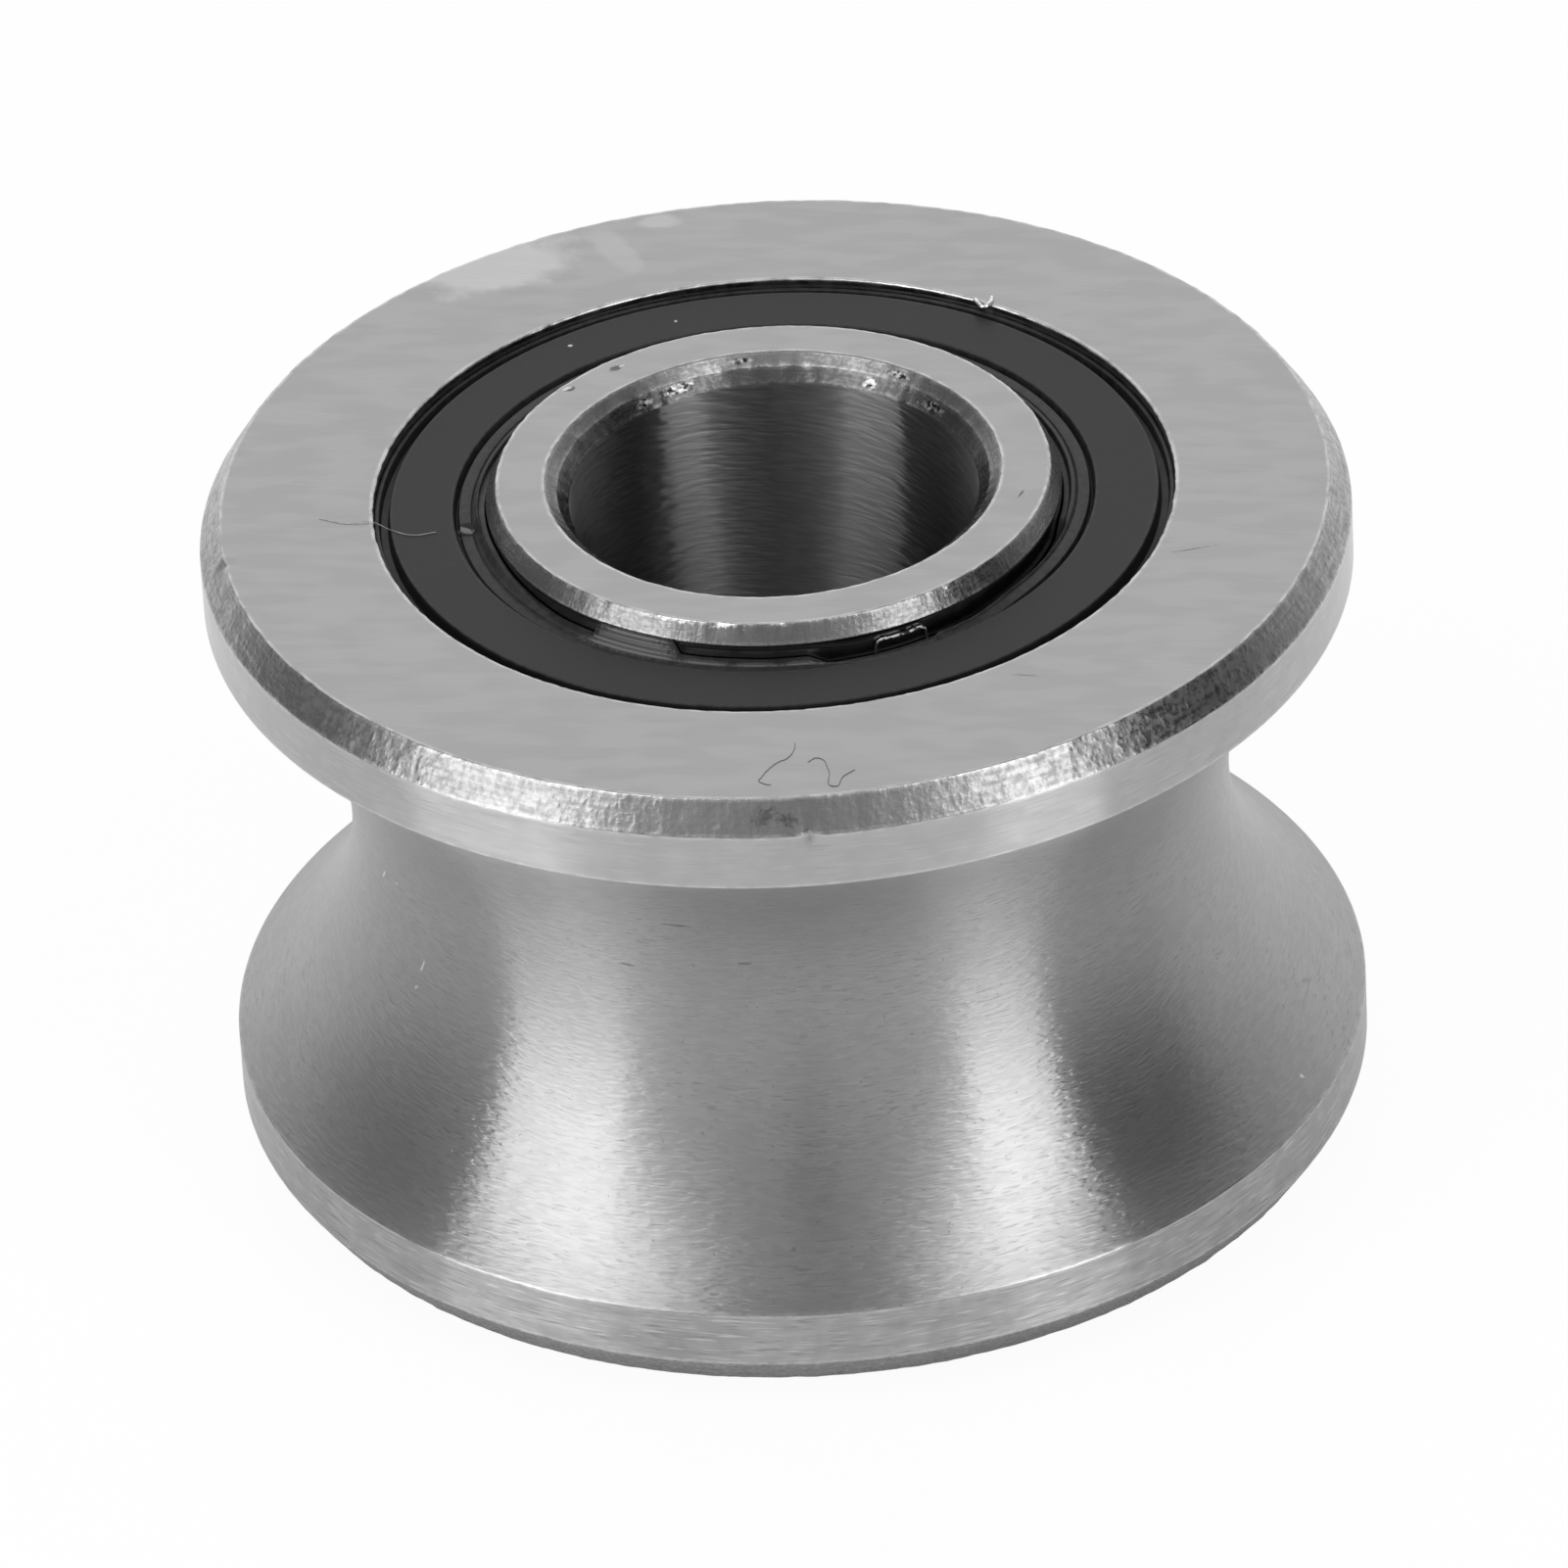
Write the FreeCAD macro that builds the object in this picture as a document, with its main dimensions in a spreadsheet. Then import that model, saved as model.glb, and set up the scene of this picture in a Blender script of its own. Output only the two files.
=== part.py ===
"""U-groove track roller: a sealed double-row ball bearing whose outer ring is the grooved wheel.

Lengths are millimetres. The bearing's axis is Z, and it stands on the inner ring's lower face at Z = 0.
Each ring is drawn about its own middle plane, each cage about its row of balls, and each seal about the
outer ring's end face, so that the lower pieces are the upper ones turned over.
"""
import FreeCAD
import Part
import Sketcher
import os

# Driving sizes: name, value, what it is
SIZES = [
    ("roller_dia", 22.5, "outside of the two lands beside the rail groove"),
    ("roller_width", 13.5, "outer ring, end face to end face"),
    ("rail_groove_radius", 6.1, "section of the rail groove, a little over a 12 mm round rail's"),
    ("throat_wall", 1.389, "outer ring from its bore to the bottom of the rail groove"),
    ("edge_chamfer_radial", 0.41, "outer ring's edge chamfer, across the end face"),
    ("edge_chamfer_axial", 0.62, "outer ring's edge chamfer, along the axis"),
    ("bore_dia", 8.0, "inner ring's bore"),
    ("inner_wall", 1.62, "inner ring from its bore to its shoulder"),
    ("face_proud", 0.4, "how far the inner ring stands proud at each end"),
    ("shoulder_chamfer_radial", 0.21, "inner ring's outer edge, across the end face"),
    ("shoulder_chamfer_axial", 0.37, "inner ring's outer edge, along the axis"),
    ("lead_in_radial", 0.24, "first step of the bore's lead-in, across the end face"),
    ("lead_in_axial", 0.20, "first step of the bore's lead-in, along the axis"),
    ("throat_in_radial", 0.22, "second, steeper step of the lead-in, across the end face"),
    ("throat_in_axial", 0.26, "second, steeper step of the lead-in, along the axis"),
    ("ball_dia", 2.38125, "steel ball, 3/32 inch"),
    ("ball_count", 9, "balls in each row"),
    ("race_play", 0.01, "running play between a ball and each raceway"),
    ("race_depth", 0.37, "depth of each raceway below its shoulder"),
    ("race_radius", 1.25, "section radius of the raceways, 52.5 percent of the ball"),
    ("cage_gap", 0.23, "cage to the rings' shoulders"),
    ("cage_back", 0.70, "cage ring behind the pockets"),
    ("cage_edge", 0.15, "broken edges at the cage's back"),
    ("cage_to_seal", 0.60, "cage to the underside of the seal"),
    ("pocket_play", 0.06, "ball to its pocket in the cage"),
    ("horn_reach", 0.55, "how far the pocket's horns pass the middle of the ball"),
    ("horn_wall", 0.45, "thickness of a horn at the pitch circle"),
    ("horn_root", 0.55, "bottom of the gap between horns, behind the middle of the ball"),
    ("seat_step", 0.54, "outer ring's bore to the seal's seat"),
    ("seat_mouth", 0.40, "depth of the seat's mouth above its undercut"),
    ("seat_undercut", 0.18, "depth of the undercut that holds the seal"),
    ("seat_groove_width", 0.55, "width of the undercut along the axis"),
    ("seal_fit", 0.02, "seal to the undercut and to the seat's floor"),
    ("seal_recess", 0.12, "seal's flat face below the outer ring's end face"),
    ("seal_edge", 0.32, "seat to the outer edge of the seal's flat face"),
    ("seal_channel_floor", 0.16, "width of the channel between the flat face and the snap rim"),
    ("seal_channel_depth", 0.30, "depth of that channel below the flat face"),
    ("seal_rim", 0.09, "width of the snap rim's crest"),
    ("seal_rim_drop", 0.08, "snap rim's crest below the flat face"),
    ("seal_draft", 0.04, "slope of the moulded steps, across their height"),
    ("seal_ledge", 0.65, "inner ring's shoulder to the inner edge of the flat face"),
    ("seal_ledge_drop", 0.13, "lip's ledge below the flat face"),
    ("seal_lip_width", 0.51, "width of the lip's ledge"),
    ("seal_lip_play", 0.04, "lip to the inner ring's shoulder"),
    ("seal_lip_edge", 0.20, "height of the lip's edge along the shoulder"),
    ("seal_lip_drop", 0.12, "lip below the seal's underside"),
    ("seal_web", 0.30, "slope of the underside between the web and the lip"),
]

# Radii and heights that follow from the driving sizes
SHOULDER_IN = "(Sizes.bore_dia / 2 + Sizes.inner_wall)"
PITCH = f"({SHOULDER_IN} - Sizes.race_depth + Sizes.race_play + Sizes.ball_dia / 2)"
RACE_IN = f"({SHOULDER_IN} - Sizes.race_depth)"
RACE_OUT = f"({PITCH} + Sizes.ball_dia / 2 + Sizes.race_play)"
SHOULDER_OUT = f"({RACE_OUT} - Sizes.race_depth)"
THROAT = f"({SHOULDER_OUT} + Sizes.throat_wall)"
SEAT = f"({SHOULDER_OUT} + Sizes.seat_step)"
OUTER_HALF = "(Sizes.roller_width / 2)"
INNER_HALF = f"({OUTER_HALF} + Sizes.face_proud)"
SEAT_FLOOR = "(Sizes.seat_mouth + Sizes.seat_groove_width)"
SEAL_UNDER = f"({SEAT_FLOOR} - Sizes.seal_fit)"
SEAL_LOWEST = f"({SEAL_UNDER} + Sizes.seal_lip_drop)"
POCKET = "(Sizes.ball_dia / 2 + Sizes.pocket_play)"
CAGE_BACK = f"({POCKET} + Sizes.cage_back)"
ROW = f"({OUTER_HALF} - {SEAL_LOWEST} - Sizes.cage_to_seal - {CAGE_BACK})"
HALF_STEP = "(180 / Sizes.ball_count)"

# A sketch's marks for the start, end and centre of a piece of geometry
START = 1
END = 2
CENTRE = 3

doc = FreeCAD.newDocument("TrackRoller")


def size_sheet():
    """The spreadsheet that every size is read from."""
    sheet = doc.addObject("Spreadsheet::Sheet", "Sizes")
    for row, (name, value, note) in enumerate(SIZES, start=1):
        sheet.set(f"A{row}", name)
        sheet.set(f"B{row}", str(value))
        sheet.set(f"C{row}", note)
        sheet.setAlias(f"B{row}", name)
    doc.recompute()
    return sheet


sheet = size_sheet()


def value(expression):
    """What an expression comes to with the sheet as it is."""
    return float(sheet.evalExpression(expression))


def origin_part(body, role):
    """One of a body's own planes or axes, such as XZ_Plane or Z_Axis."""
    return next(part for part in body.Origin.OriginFeatures if part.Role == role)


def new_body(label):
    body = doc.addObject("PartDesign::Body", label)
    body.Label = label
    return body


def new_sketch(body, name, plane="XZ_Plane"):
    """A sketch on one of the body's planes. On XZ, sketch x is the radius and sketch y the height."""
    sketch = body.newObject("Sketcher::SketchObject", name)
    sketch.AttachmentSupport = [(origin_part(body, plane), "")]
    sketch.MapMode = "FlatFace"
    return sketch


def bind(sketch, kind, items, expression):
    """Adds a dimension to a sketch and binds it to an expression of the sheet's sizes."""
    index = sketch.addConstraint(Sketcher.Constraint(kind, *items, value(expression)))
    sketch.setExpression(f"Constraints[{index}]", expression)


def outline(body, name, corners, plane="XZ_Plane"):
    """A closed sketch of straight lines through corners, each a pair of expressions."""
    sketch = new_sketch(body, name, plane)
    points = [FreeCAD.Vector(value(x), value(y), 0) for x, y in corners]
    following = points[1:] + points[:1]
    for start, end in zip(points, following):
        sketch.addGeometry(Part.LineSegment(start, end), False)
    last = len(points) - 1
    for edge in range(len(points)):
        after = 0 if edge == last else edge + 1
        sketch.addConstraint(Sketcher.Constraint("Coincident", edge, END, after, START))
    for edge, (x, y) in enumerate(corners):
        bind(sketch, "DistanceX", (-1, 1, edge, START), x)
        bind(sketch, "DistanceY", (-1, 1, edge, START), y)
    doc.recompute()
    return sketch


def ring_section(body, name, radius, x, y=None):
    """A sketch of one circle, the section of a groove round the ring; with no y it is on the middle plane."""
    sketch = new_sketch(body, name)
    centre = FreeCAD.Vector(value(x), value(y) if y else 0, 0)
    circle = sketch.addGeometry(Part.Circle(centre, FreeCAD.Vector(0, 0, 1), value(radius)), False)
    if y:
        bind(sketch, "DistanceY", (-1, 1, circle, CENTRE), y)
    else:
        sketch.addConstraint(Sketcher.Constraint("PointOnObject", circle, CENTRE, -1))
    bind(sketch, "DistanceX", (-1, 1, circle, CENTRE), x)
    bind(sketch, "Radius", (circle,), radius)
    doc.recompute()
    return sketch


def turned(body, kind, name, sketch):
    """Turns a sketch about the body's axis, to add (Revolution) or to cut (Groove)."""
    before = body.Shape.Volume if body.Tip else 0
    feature = body.newObject(f"PartDesign::{kind}", name)
    feature.Profile = sketch
    feature.ReferenceAxis = (sketch, ["V_Axis"])
    feature.Angle = 360
    doc.recompute()
    after = body.Shape.Volume
    grew = after > before
    if grew != (kind == "Revolution"):
        raise RuntimeError(f"{body.Label}: {name} changed the volume from {before} to {after}")
    return feature


def mirrored(body, name, features):
    """Repeats features on the other side of the body's middle plane."""
    mirror = body.newObject("PartDesign::Mirrored", name)
    mirror.Originals = features
    mirror.MirrorPlane = (origin_part(body, "XY_Plane"), [""])
    body.Tip = mirror
    doc.recompute()
    return mirror


def patterned(body, name, feature):
    """Repeats a feature once for each ball, round the body's axis."""
    pattern = body.newObject("PartDesign::PolarPattern", name)
    pattern.Originals = [feature]
    pattern.Axis = (origin_part(body, "Z_Axis"), [""])
    pattern.Angle = 360
    pattern.setExpression("Occurrences", "Sizes.ball_count")
    body.Tip = pattern
    doc.recompute()
    return pattern


def place(body, height, turned_over=False):
    """Sets a body's height on the axis, turned over for the lower half of the bearing."""
    flip = FreeCAD.Rotation(FreeCAD.Vector(1, 0, 0), 180 if turned_over else 0)
    body.Placement = FreeCAD.Placement(FreeCAD.Vector(0, 0, 0), flip)
    body.setExpression("Placement.Base.z", height)


def both_ends(corners):
    """A profile's upper corners followed by the same corners below the middle plane."""
    return corners + [(x, f"-{y}") for x, y in reversed(corners)]


def outer_ring():
    """The grooved wheel: blank, rail groove, then raceway and seal seat at both ends."""
    body = new_body("outer_ring")
    rim = "(Sizes.roller_dia / 2)"
    blank = outline(body, "Blank", both_ends([
        (SHOULDER_OUT, OUTER_HALF),
        (f"({rim} - Sizes.edge_chamfer_radial)", OUTER_HALF),
        (rim, f"({OUTER_HALF} - Sizes.edge_chamfer_axial)"),
    ]))
    turned(body, "Revolution", "TurnedBlank", blank)
    rail_centre = f"({THROAT} + Sizes.rail_groove_radius)"
    rail = ring_section(body, "RailSection", "Sizes.rail_groove_radius", rail_centre)
    turned(body, "Groove", "RailGroove", rail)
    race_centre = f"({RACE_OUT} - Sizes.race_radius)"
    race_section = ring_section(body, "RaceSection", "Sizes.race_radius", race_centre, ROW)
    race = turned(body, "Groove", "Raceway", race_section)
    undercut = f"({SEAT} + Sizes.seat_undercut)"
    mouth = f"({OUTER_HALF} - Sizes.seat_mouth)"
    floor = f"({OUTER_HALF} - {SEAT_FLOOR})"
    above = f"({OUTER_HALF} + Sizes.seat_mouth)"
    inside = f"({SHOULDER_OUT} - Sizes.seat_step)"
    seat = turned(body, "Groove", "SealSeat", outline(body, "SeatSection", [
        (inside, floor),
        (undercut, floor),
        (undercut, mouth),
        (SEAT, mouth),
        (SEAT, above),
        (inside, above),
    ]))
    mirrored(body, "OtherEnd", [race, seat])
    place(body, INNER_HALF)
    return body


def inner_ring():
    """The ring on the shaft: blank with its chamfers and lead-ins, then a raceway at both ends."""
    body = new_body("inner_ring")
    bore = "(Sizes.bore_dia / 2)"
    step = f"({bore} + Sizes.throat_in_radial)"
    mouth = f"({step} + Sizes.lead_in_radial)"
    blank = outline(body, "Blank", both_ends([
        (bore, f"({INNER_HALF} - Sizes.lead_in_axial - Sizes.throat_in_axial)"),
        (step, f"({INNER_HALF} - Sizes.lead_in_axial)"),
        (mouth, INNER_HALF),
        (f"({SHOULDER_IN} - Sizes.shoulder_chamfer_radial)", INNER_HALF),
        (SHOULDER_IN, f"({INNER_HALF} - Sizes.shoulder_chamfer_axial)"),
    ]))
    turned(body, "Revolution", "TurnedBlank", blank)
    race_centre = f"({RACE_IN} + Sizes.race_radius)"
    race_section = ring_section(body, "RaceSection", "Sizes.race_radius", race_centre, ROW)
    race = turned(body, "Groove", "Raceway", race_section)
    mirrored(body, "OtherRow", [race])
    place(body, INNER_HALF)
    return body


def cage(label, height, turned_over):
    """A crown cage: a ring with a snap pocket for each ball and a gap between neighbouring horns."""
    body = new_body(label)
    inside = f"({SHOULDER_IN} + Sizes.cage_gap)"
    outside = f"({SHOULDER_OUT} - Sizes.cage_gap)"
    edge = f"({CAGE_BACK} - Sizes.cage_edge)"
    ring = outline(body, "RingSection", [
        (inside, "-Sizes.horn_reach"),
        (outside, "-Sizes.horn_reach"),
        (outside, edge),
        (f"({outside} - Sizes.cage_edge)", CAGE_BACK),
        (f"({inside} + Sizes.cage_edge)", CAGE_BACK),
        (inside, edge),
    ])
    turned(body, "Revolution", "Ring", ring)
    gap_half = f"({PITCH} * sin({HALF_STEP}) - {POCKET} - Sizes.horn_wall)"
    below_horns = "-(Sizes.horn_reach + Sizes.cage_gap)"
    gap = outline(body, "HornGapSection", [
        (f"-{gap_half}", below_horns),
        (gap_half, below_horns),
        (gap_half, "Sizes.horn_root"),
        (f"-{gap_half}", "Sizes.horn_root"),
    ], "YZ_Plane")
    solid = body.Shape.Volume
    horn_gap = body.newObject("PartDesign::Pocket", "HornGap")
    horn_gap.Profile = gap
    horn_gap.Type = "Length"
    horn_gap.Reversed = True
    horn_gap.setExpression("Length", SHOULDER_OUT)
    doc.recompute()
    if body.Shape.Volume >= solid:
        raise RuntimeError(f"{label}: the gap between the horns cut nothing")
    patterned(body, "HornGaps", horn_gap)
    pocket = body.newObject("PartDesign::SubtractiveSphere", "BallPocket")
    pocket.setExpression("Radius", POCKET)
    pocket.setExpression("Placement.Base.x", f"{PITCH} * cos({HALF_STEP})")
    pocket.setExpression("Placement.Base.y", f"{PITCH} * sin({HALF_STEP})")
    doc.recompute()
    patterned(body, "BallPockets", pocket)
    place(body, height, turned_over)
    return body


def seal(label, height, turned_over):
    """A moulded seal: snap rim in the seat, flat face, and a lip on a ledge beside the inner ring."""
    body = new_body(label)
    flat = "-Sizes.seal_recess"
    flat_out = f"({SEAT} - Sizes.seal_edge)"
    channel_in = f"({flat_out} + Sizes.seal_draft)"
    channel_out = f"({channel_in} + Sizes.seal_channel_floor)"
    channel = "-(Sizes.seal_recess + Sizes.seal_channel_depth)"
    crest_in = f"({channel_out} + Sizes.seal_draft / 2)"
    crest_out = f"({crest_in} + Sizes.seal_rim)"
    crest = "-(Sizes.seal_recess + Sizes.seal_rim_drop)"
    snap = f"({SEAT} + Sizes.seat_undercut - Sizes.seal_fit)"
    snap_top = "-(Sizes.seat_mouth + Sizes.seal_fit + Sizes.seal_draft)"
    snap_low = f"-({SEAL_UNDER} - Sizes.seat_undercut / 2)"
    under = f"-{SEAL_UNDER}"
    flat_in = f"({SHOULDER_IN} + Sizes.seal_ledge)"
    ledge_out = f"({flat_in} - Sizes.seal_draft)"
    ledge_in = f"({ledge_out} - Sizes.seal_lip_width)"
    ledge = "-(Sizes.seal_recess + Sizes.seal_ledge_drop)"
    lip = f"({SHOULDER_IN} + Sizes.seal_lip_play)"
    lip_low = f"-{SEAL_LOWEST}"
    section = outline(body, "Section", [
        (flat_in, flat),
        (flat_out, flat),
        (channel_in, channel),
        (channel_out, channel),
        (crest_in, crest),
        (crest_out, crest),
        (crest_out, "-(Sizes.seat_mouth + Sizes.seal_fit)"),
        (snap, snap_top),
        (snap, snap_low),
        (SEAT, under),
        (flat_in, under),
        (f"({flat_in} - Sizes.seal_web)", lip_low),
        (lip, lip_low),
        (lip, f"-({SEAL_LOWEST} - Sizes.seal_lip_edge)"),
        (ledge_in, ledge),
        (ledge_out, ledge),
    ])
    turned(body, "Revolution", "Moulding", section)
    place(body, height, turned_over)
    return body


def ball(label, number, height):
    """One steel ball, in the middle of its pocket."""
    sphere = doc.addObject("Part::Sphere", label)
    sphere.Label = label
    turn = f"((2 * {number} - 1) * {HALF_STEP})"
    sphere.setExpression("Radius", "Sizes.ball_dia / 2")
    sphere.setExpression("Placement.Base.x", f"{PITCH} * cos({turn})")
    sphere.setExpression("Placement.Base.y", f"{PITCH} * sin({turn})")
    sphere.setExpression("Placement.Base.z", height)
    return sphere


def bearing():
    """Every piece of the bearing, from the outside in."""
    upper_row = f"{INNER_HALF} + {ROW}"
    lower_row = f"{INNER_HALF} - {ROW}"
    pieces = [
        outer_ring(),
        inner_ring(),
        seal("upper_seal", f"{INNER_HALF} + {OUTER_HALF}", False),
        seal("lower_seal", f"{INNER_HALF} - {OUTER_HALF}", True),
        cage("upper_cage", upper_row, False),
        cage("lower_cage", lower_row, True),
    ]
    for number in range(1, int(value("Sizes.ball_count")) + 1):
        pieces.append(ball(f"upper_ball_{number}", number, upper_row))
        pieces.append(ball(f"lower_ball_{number}", number, lower_row))
    doc.recompute()
    return pieces


def check(pieces):
    """Stops if any object failed or any piece isn't one sound solid."""
    for item in doc.Objects:
        if "Invalid" in item.State or "Error" in item.State:
            raise RuntimeError(f"{item.Label}: {item.State}")
    for piece in pieces:
        shape = piece.Shape
        if shape.isNull() or not shape.isValid() or len(shape.Solids) != 1:
            raise RuntimeError(f"{piece.Label} isn't one sound solid")


def write(pieces):
    os.makedirs("parts", exist_ok=True)
    for piece in pieces:
        piece.Shape.exportStep(f"parts/{piece.Label}.step")
        box = piece.Shape.BoundBox
        print(f"{piece.Label}: {piece.Shape.Volume:.3f} mm3, z {box.ZMin:.3f} to {box.ZMax:.3f}")


pieces = bearing()
check(pieces)
write(pieces)
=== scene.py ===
# %% [markdown]
# # A grooved track roller, turned piece by piece
#
# The object is a sealed ball bearing whose outer ring is a steel wheel with a U-shaped groove for a
# round rail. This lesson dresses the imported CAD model: each ring and seal is turned again as a fine
# mesh with softened edges, burrs and small faults, and gets a procedural finish. The CAD pieces give
# the sizes, so nothing is moved or fitted. Lengths below are millimetres until a mesh is made.

# %% Load the frame
import math
from collections import namedtuple

import bpy
from mathutils import Matrix, Vector, noise


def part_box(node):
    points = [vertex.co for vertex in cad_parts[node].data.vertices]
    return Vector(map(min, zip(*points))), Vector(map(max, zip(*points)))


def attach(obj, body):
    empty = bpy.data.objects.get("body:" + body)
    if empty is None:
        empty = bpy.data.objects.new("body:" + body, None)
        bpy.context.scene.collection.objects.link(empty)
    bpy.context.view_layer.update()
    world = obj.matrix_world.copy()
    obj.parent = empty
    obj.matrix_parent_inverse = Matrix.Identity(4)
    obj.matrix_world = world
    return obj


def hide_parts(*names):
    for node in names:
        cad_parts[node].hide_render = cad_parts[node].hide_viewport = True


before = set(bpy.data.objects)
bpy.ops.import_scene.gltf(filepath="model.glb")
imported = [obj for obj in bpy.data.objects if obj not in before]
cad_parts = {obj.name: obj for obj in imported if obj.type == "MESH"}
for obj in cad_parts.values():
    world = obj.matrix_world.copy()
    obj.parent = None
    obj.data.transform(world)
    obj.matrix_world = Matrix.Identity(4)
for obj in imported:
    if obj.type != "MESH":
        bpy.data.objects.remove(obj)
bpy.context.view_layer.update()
MM = 0.001


def box_mm(node):
    """The low and high corners of a CAD node's box, in millimetres."""
    low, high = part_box(node)
    return low / MM, high / MM


ring_low, ring_high = box_mm("outer_ring")
hub_high = box_mm("inner_ring")[1]
seal_high = box_mm("upper_seal")[1]
ball_low, ball_high = box_mm("upper_ball_1")

RIM = ring_high.x
MIDDLE = (ring_high.z + ring_low.z) / 2
OUTER_HALF = ring_high.z - MIDDLE
INNER_HALF = hub_high.z - MIDDLE
SHOULDER_IN = hub_high.x
SNAP = seal_high.x
ROW = (ball_high.z + ball_low.z) / 2 - MIDDLE
print(f"rim {RIM:.3f}, halves {OUTER_HALF:.3f} and {INNER_HALF:.3f}, ball row at {ROW:.3f} from the middle")

# %% [markdown]
# ## A lathe
#
# Rings and seals are bodies of revolution, so one helper makes them all. Blender's Screw modifier
# could sweep an outline, but real turned edges aren't perfect: they carry burrs, nicks and a wavy line
# where two cuts meet. So the sweep is a plain loop that lets a function push points a little at any
# angle. An outline is a list of corners. Each corner is softened by a small curve, because a truly
# sharp edge catches no light, and each stretch between corners keeps the name of its own finish.

# %% A stretch between two corners
Corner = namedtuple("Corner", "radius height soften finish centre", defaults=[None])
Spot = namedtuple("Spot", "radius height edge finish")


def stretch(start, end, centre):
    """The length of a stretch, straight or round a centre, and a function for its point at a distance."""
    if centre is None:
        run = end - start
        return run.length, lambda distance: start + run * (distance / run.length)
    middle = Vector(centre)
    arm = start - middle
    first = math.atan2(arm.y, arm.x)
    last = math.atan2(end.y - middle.y, end.x - middle.x)
    turn = (last - first + math.pi) % (2 * math.pi) - math.pi
    length = abs(turn) * arm.length

    def at(distance):
        angle = first + turn * distance / length
        return middle + Vector((math.cos(angle), math.sin(angle))) * arm.length

    return length, at


quarter_turn, along_quarter = stretch(Vector((1.0, 0.0)), Vector((0.0, 1.0)), (0.0, 0.0))
quarter_end = [round(part, 3) for part in along_quarter(quarter_turn)]
print(f"a quarter turn of radius 1 is {quarter_turn:.4f} long and ends at {quarter_end}")

# %% [markdown]
# A corner is softened in a few steps, and a very small one in two. Spots on a softened corner are
# marked as an edge, and later a little wear and a painted highlight brighten them. An extra spot close
# beside the corner ends the mark, so the bright line stays thin on a long face.

# %% Soften the corners
SOFTEN_STEPS = 4
FINE_STEPS = 2
FINE_SOFTEN = 0.025
EDGE_MARK_REACH = 0.05


def outline(corners, step):
    """The spots of a closed outline, walked with the material on the left."""
    places = [Vector((corner.radius, corner.height)) for corner in corners]
    following = places[1:] + places[:1]
    runs = [stretch(a, b, corner.centre) for a, b, corner in zip(places, following, corners)]
    spots = []
    for index, corner in enumerate(corners):
        before = corners[index - 1]
        length_before, at_before = runs[index - 1]
        length, at = runs[index]
        enter = at_before(length_before - corner.soften)
        leave = at(corner.soften)
        steps = SOFTEN_STEPS if corner.soften > FINE_SOFTEN else FINE_STEPS
        for count in range(steps + 1):
            share = count / steps
            bend = 2 * share * (1 - share)
            place = enter * (1 - share) ** 2 + places[index] * bend + leave * share ** 2
            finish = before.finish if share < 0.5 else corner.finish
            spots.append(Spot(place.x, place.y, 1.0, finish))
        after = corners[(index + 1) % len(corners)]
        open_length = length - corner.soften - after.soften
        pieces = max(1, round(open_length / step))
        distances = [open_length * count / pieces for count in range(1, pieces)]
        roomy = open_length > 3 * EDGE_MARK_REACH
        if roomy and corner.soften > FINE_SOFTEN:
            distances.append(EDGE_MARK_REACH)
        if roomy and after.soften > FINE_SOFTEN:
            distances.append(open_length - EDGE_MARK_REACH)
        for distance in sorted(distances):
            place = at(corner.soften + distance)
            spots.append(Spot(place.x, place.y, 0.0, corner.finish))
    return spots


def both_ends(corners, closing_finish, closing_centre=None):
    """An upper half's corners, then the same below the middle in reverse, closed by a last stretch."""
    def flip(centre):
        return None if centre is None else (centre[0], -centre[1])

    lower = []
    for index in reversed(range(len(corners))):
        corner = corners[index]
        finish = corners[index - 1].finish if index else closing_finish
        centre = flip(corners[index - 1].centre) if index else closing_centre
        lower.append(Corner(corner.radius, -corner.height, corner.soften, finish, centre))
    return corners + lower


print(f"softened corners have {SOFTEN_STEPS} steps, those under {FINE_SOFTEN} mm have {FINE_STEPS}")

# %% [markdown]
# The sweep puts the outline at every angle in turn and joins neighbours with four-sided faces. Each
# face takes the finish of its own stretch. A Weighted Normal modifier then keeps the large flat faces
# shaded flat, so that only the softened corners bend the light.

# %% Sweep an outline into a mesh
SEGMENTS = 480


def turned(name, spots, finishes, middle, shape):
    """Sweeps an outline round Z about a middle height. shape(spot, angle) pushes its radius and height."""
    points = []
    for segment in range(SEGMENTS):
        angle = 2 * math.pi * segment / SEGMENTS
        for spot in spots:
            radius_push, height_push = shape(spot, angle)
            radius = (spot.radius + radius_push) * MM
            height = (spot.height + middle + height_push) * MM
            points.append((radius * math.cos(angle), radius * math.sin(angle), height))
    count = len(spots)
    faces = []
    for segment in range(SEGMENTS):
        here = segment * count
        there = (segment + 1) % SEGMENTS * count
        for index in range(count):
            after = (index + 1) % count
            faces.append((here + index, there + index, there + after, here + after))
    mesh = bpy.data.meshes.new(name)
    mesh.from_pydata(points, [], faces)
    names = list(finishes)
    for material in finishes.values():
        mesh.materials.append(material)
    mesh.polygons.foreach_set("material_index", [names.index(spot.finish) for spot in spots] * SEGMENTS)
    edge = mesh.attributes.new("edge", "FLOAT", "POINT")
    edge.data.foreach_set("value", [spot.edge for spot in spots] * SEGMENTS)
    mesh.shade_smooth()
    piece = bpy.data.objects.new(name, mesh)
    bpy.context.scene.collection.objects.link(piece)
    piece.modifiers.new("even_normals", "WEIGHTED_NORMAL")
    print(f"{name}: {count} spots in the outline, {2 * len(faces)} triangles")
    return piece


print(f"one segment is {360 / SEGMENTS:.2f} degrees, {2 * math.pi * RIM / SEGMENTS:.3f} mm at the rim")


# %% Unevenness round the turn
def ripple(angle, waves, seed):
    """A smooth uneven value from about -1 to 1 that closes on itself round the turn."""
    return noise.noise(Vector((waves * math.cos(angle), waves * math.sin(angle), seed)))


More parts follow.
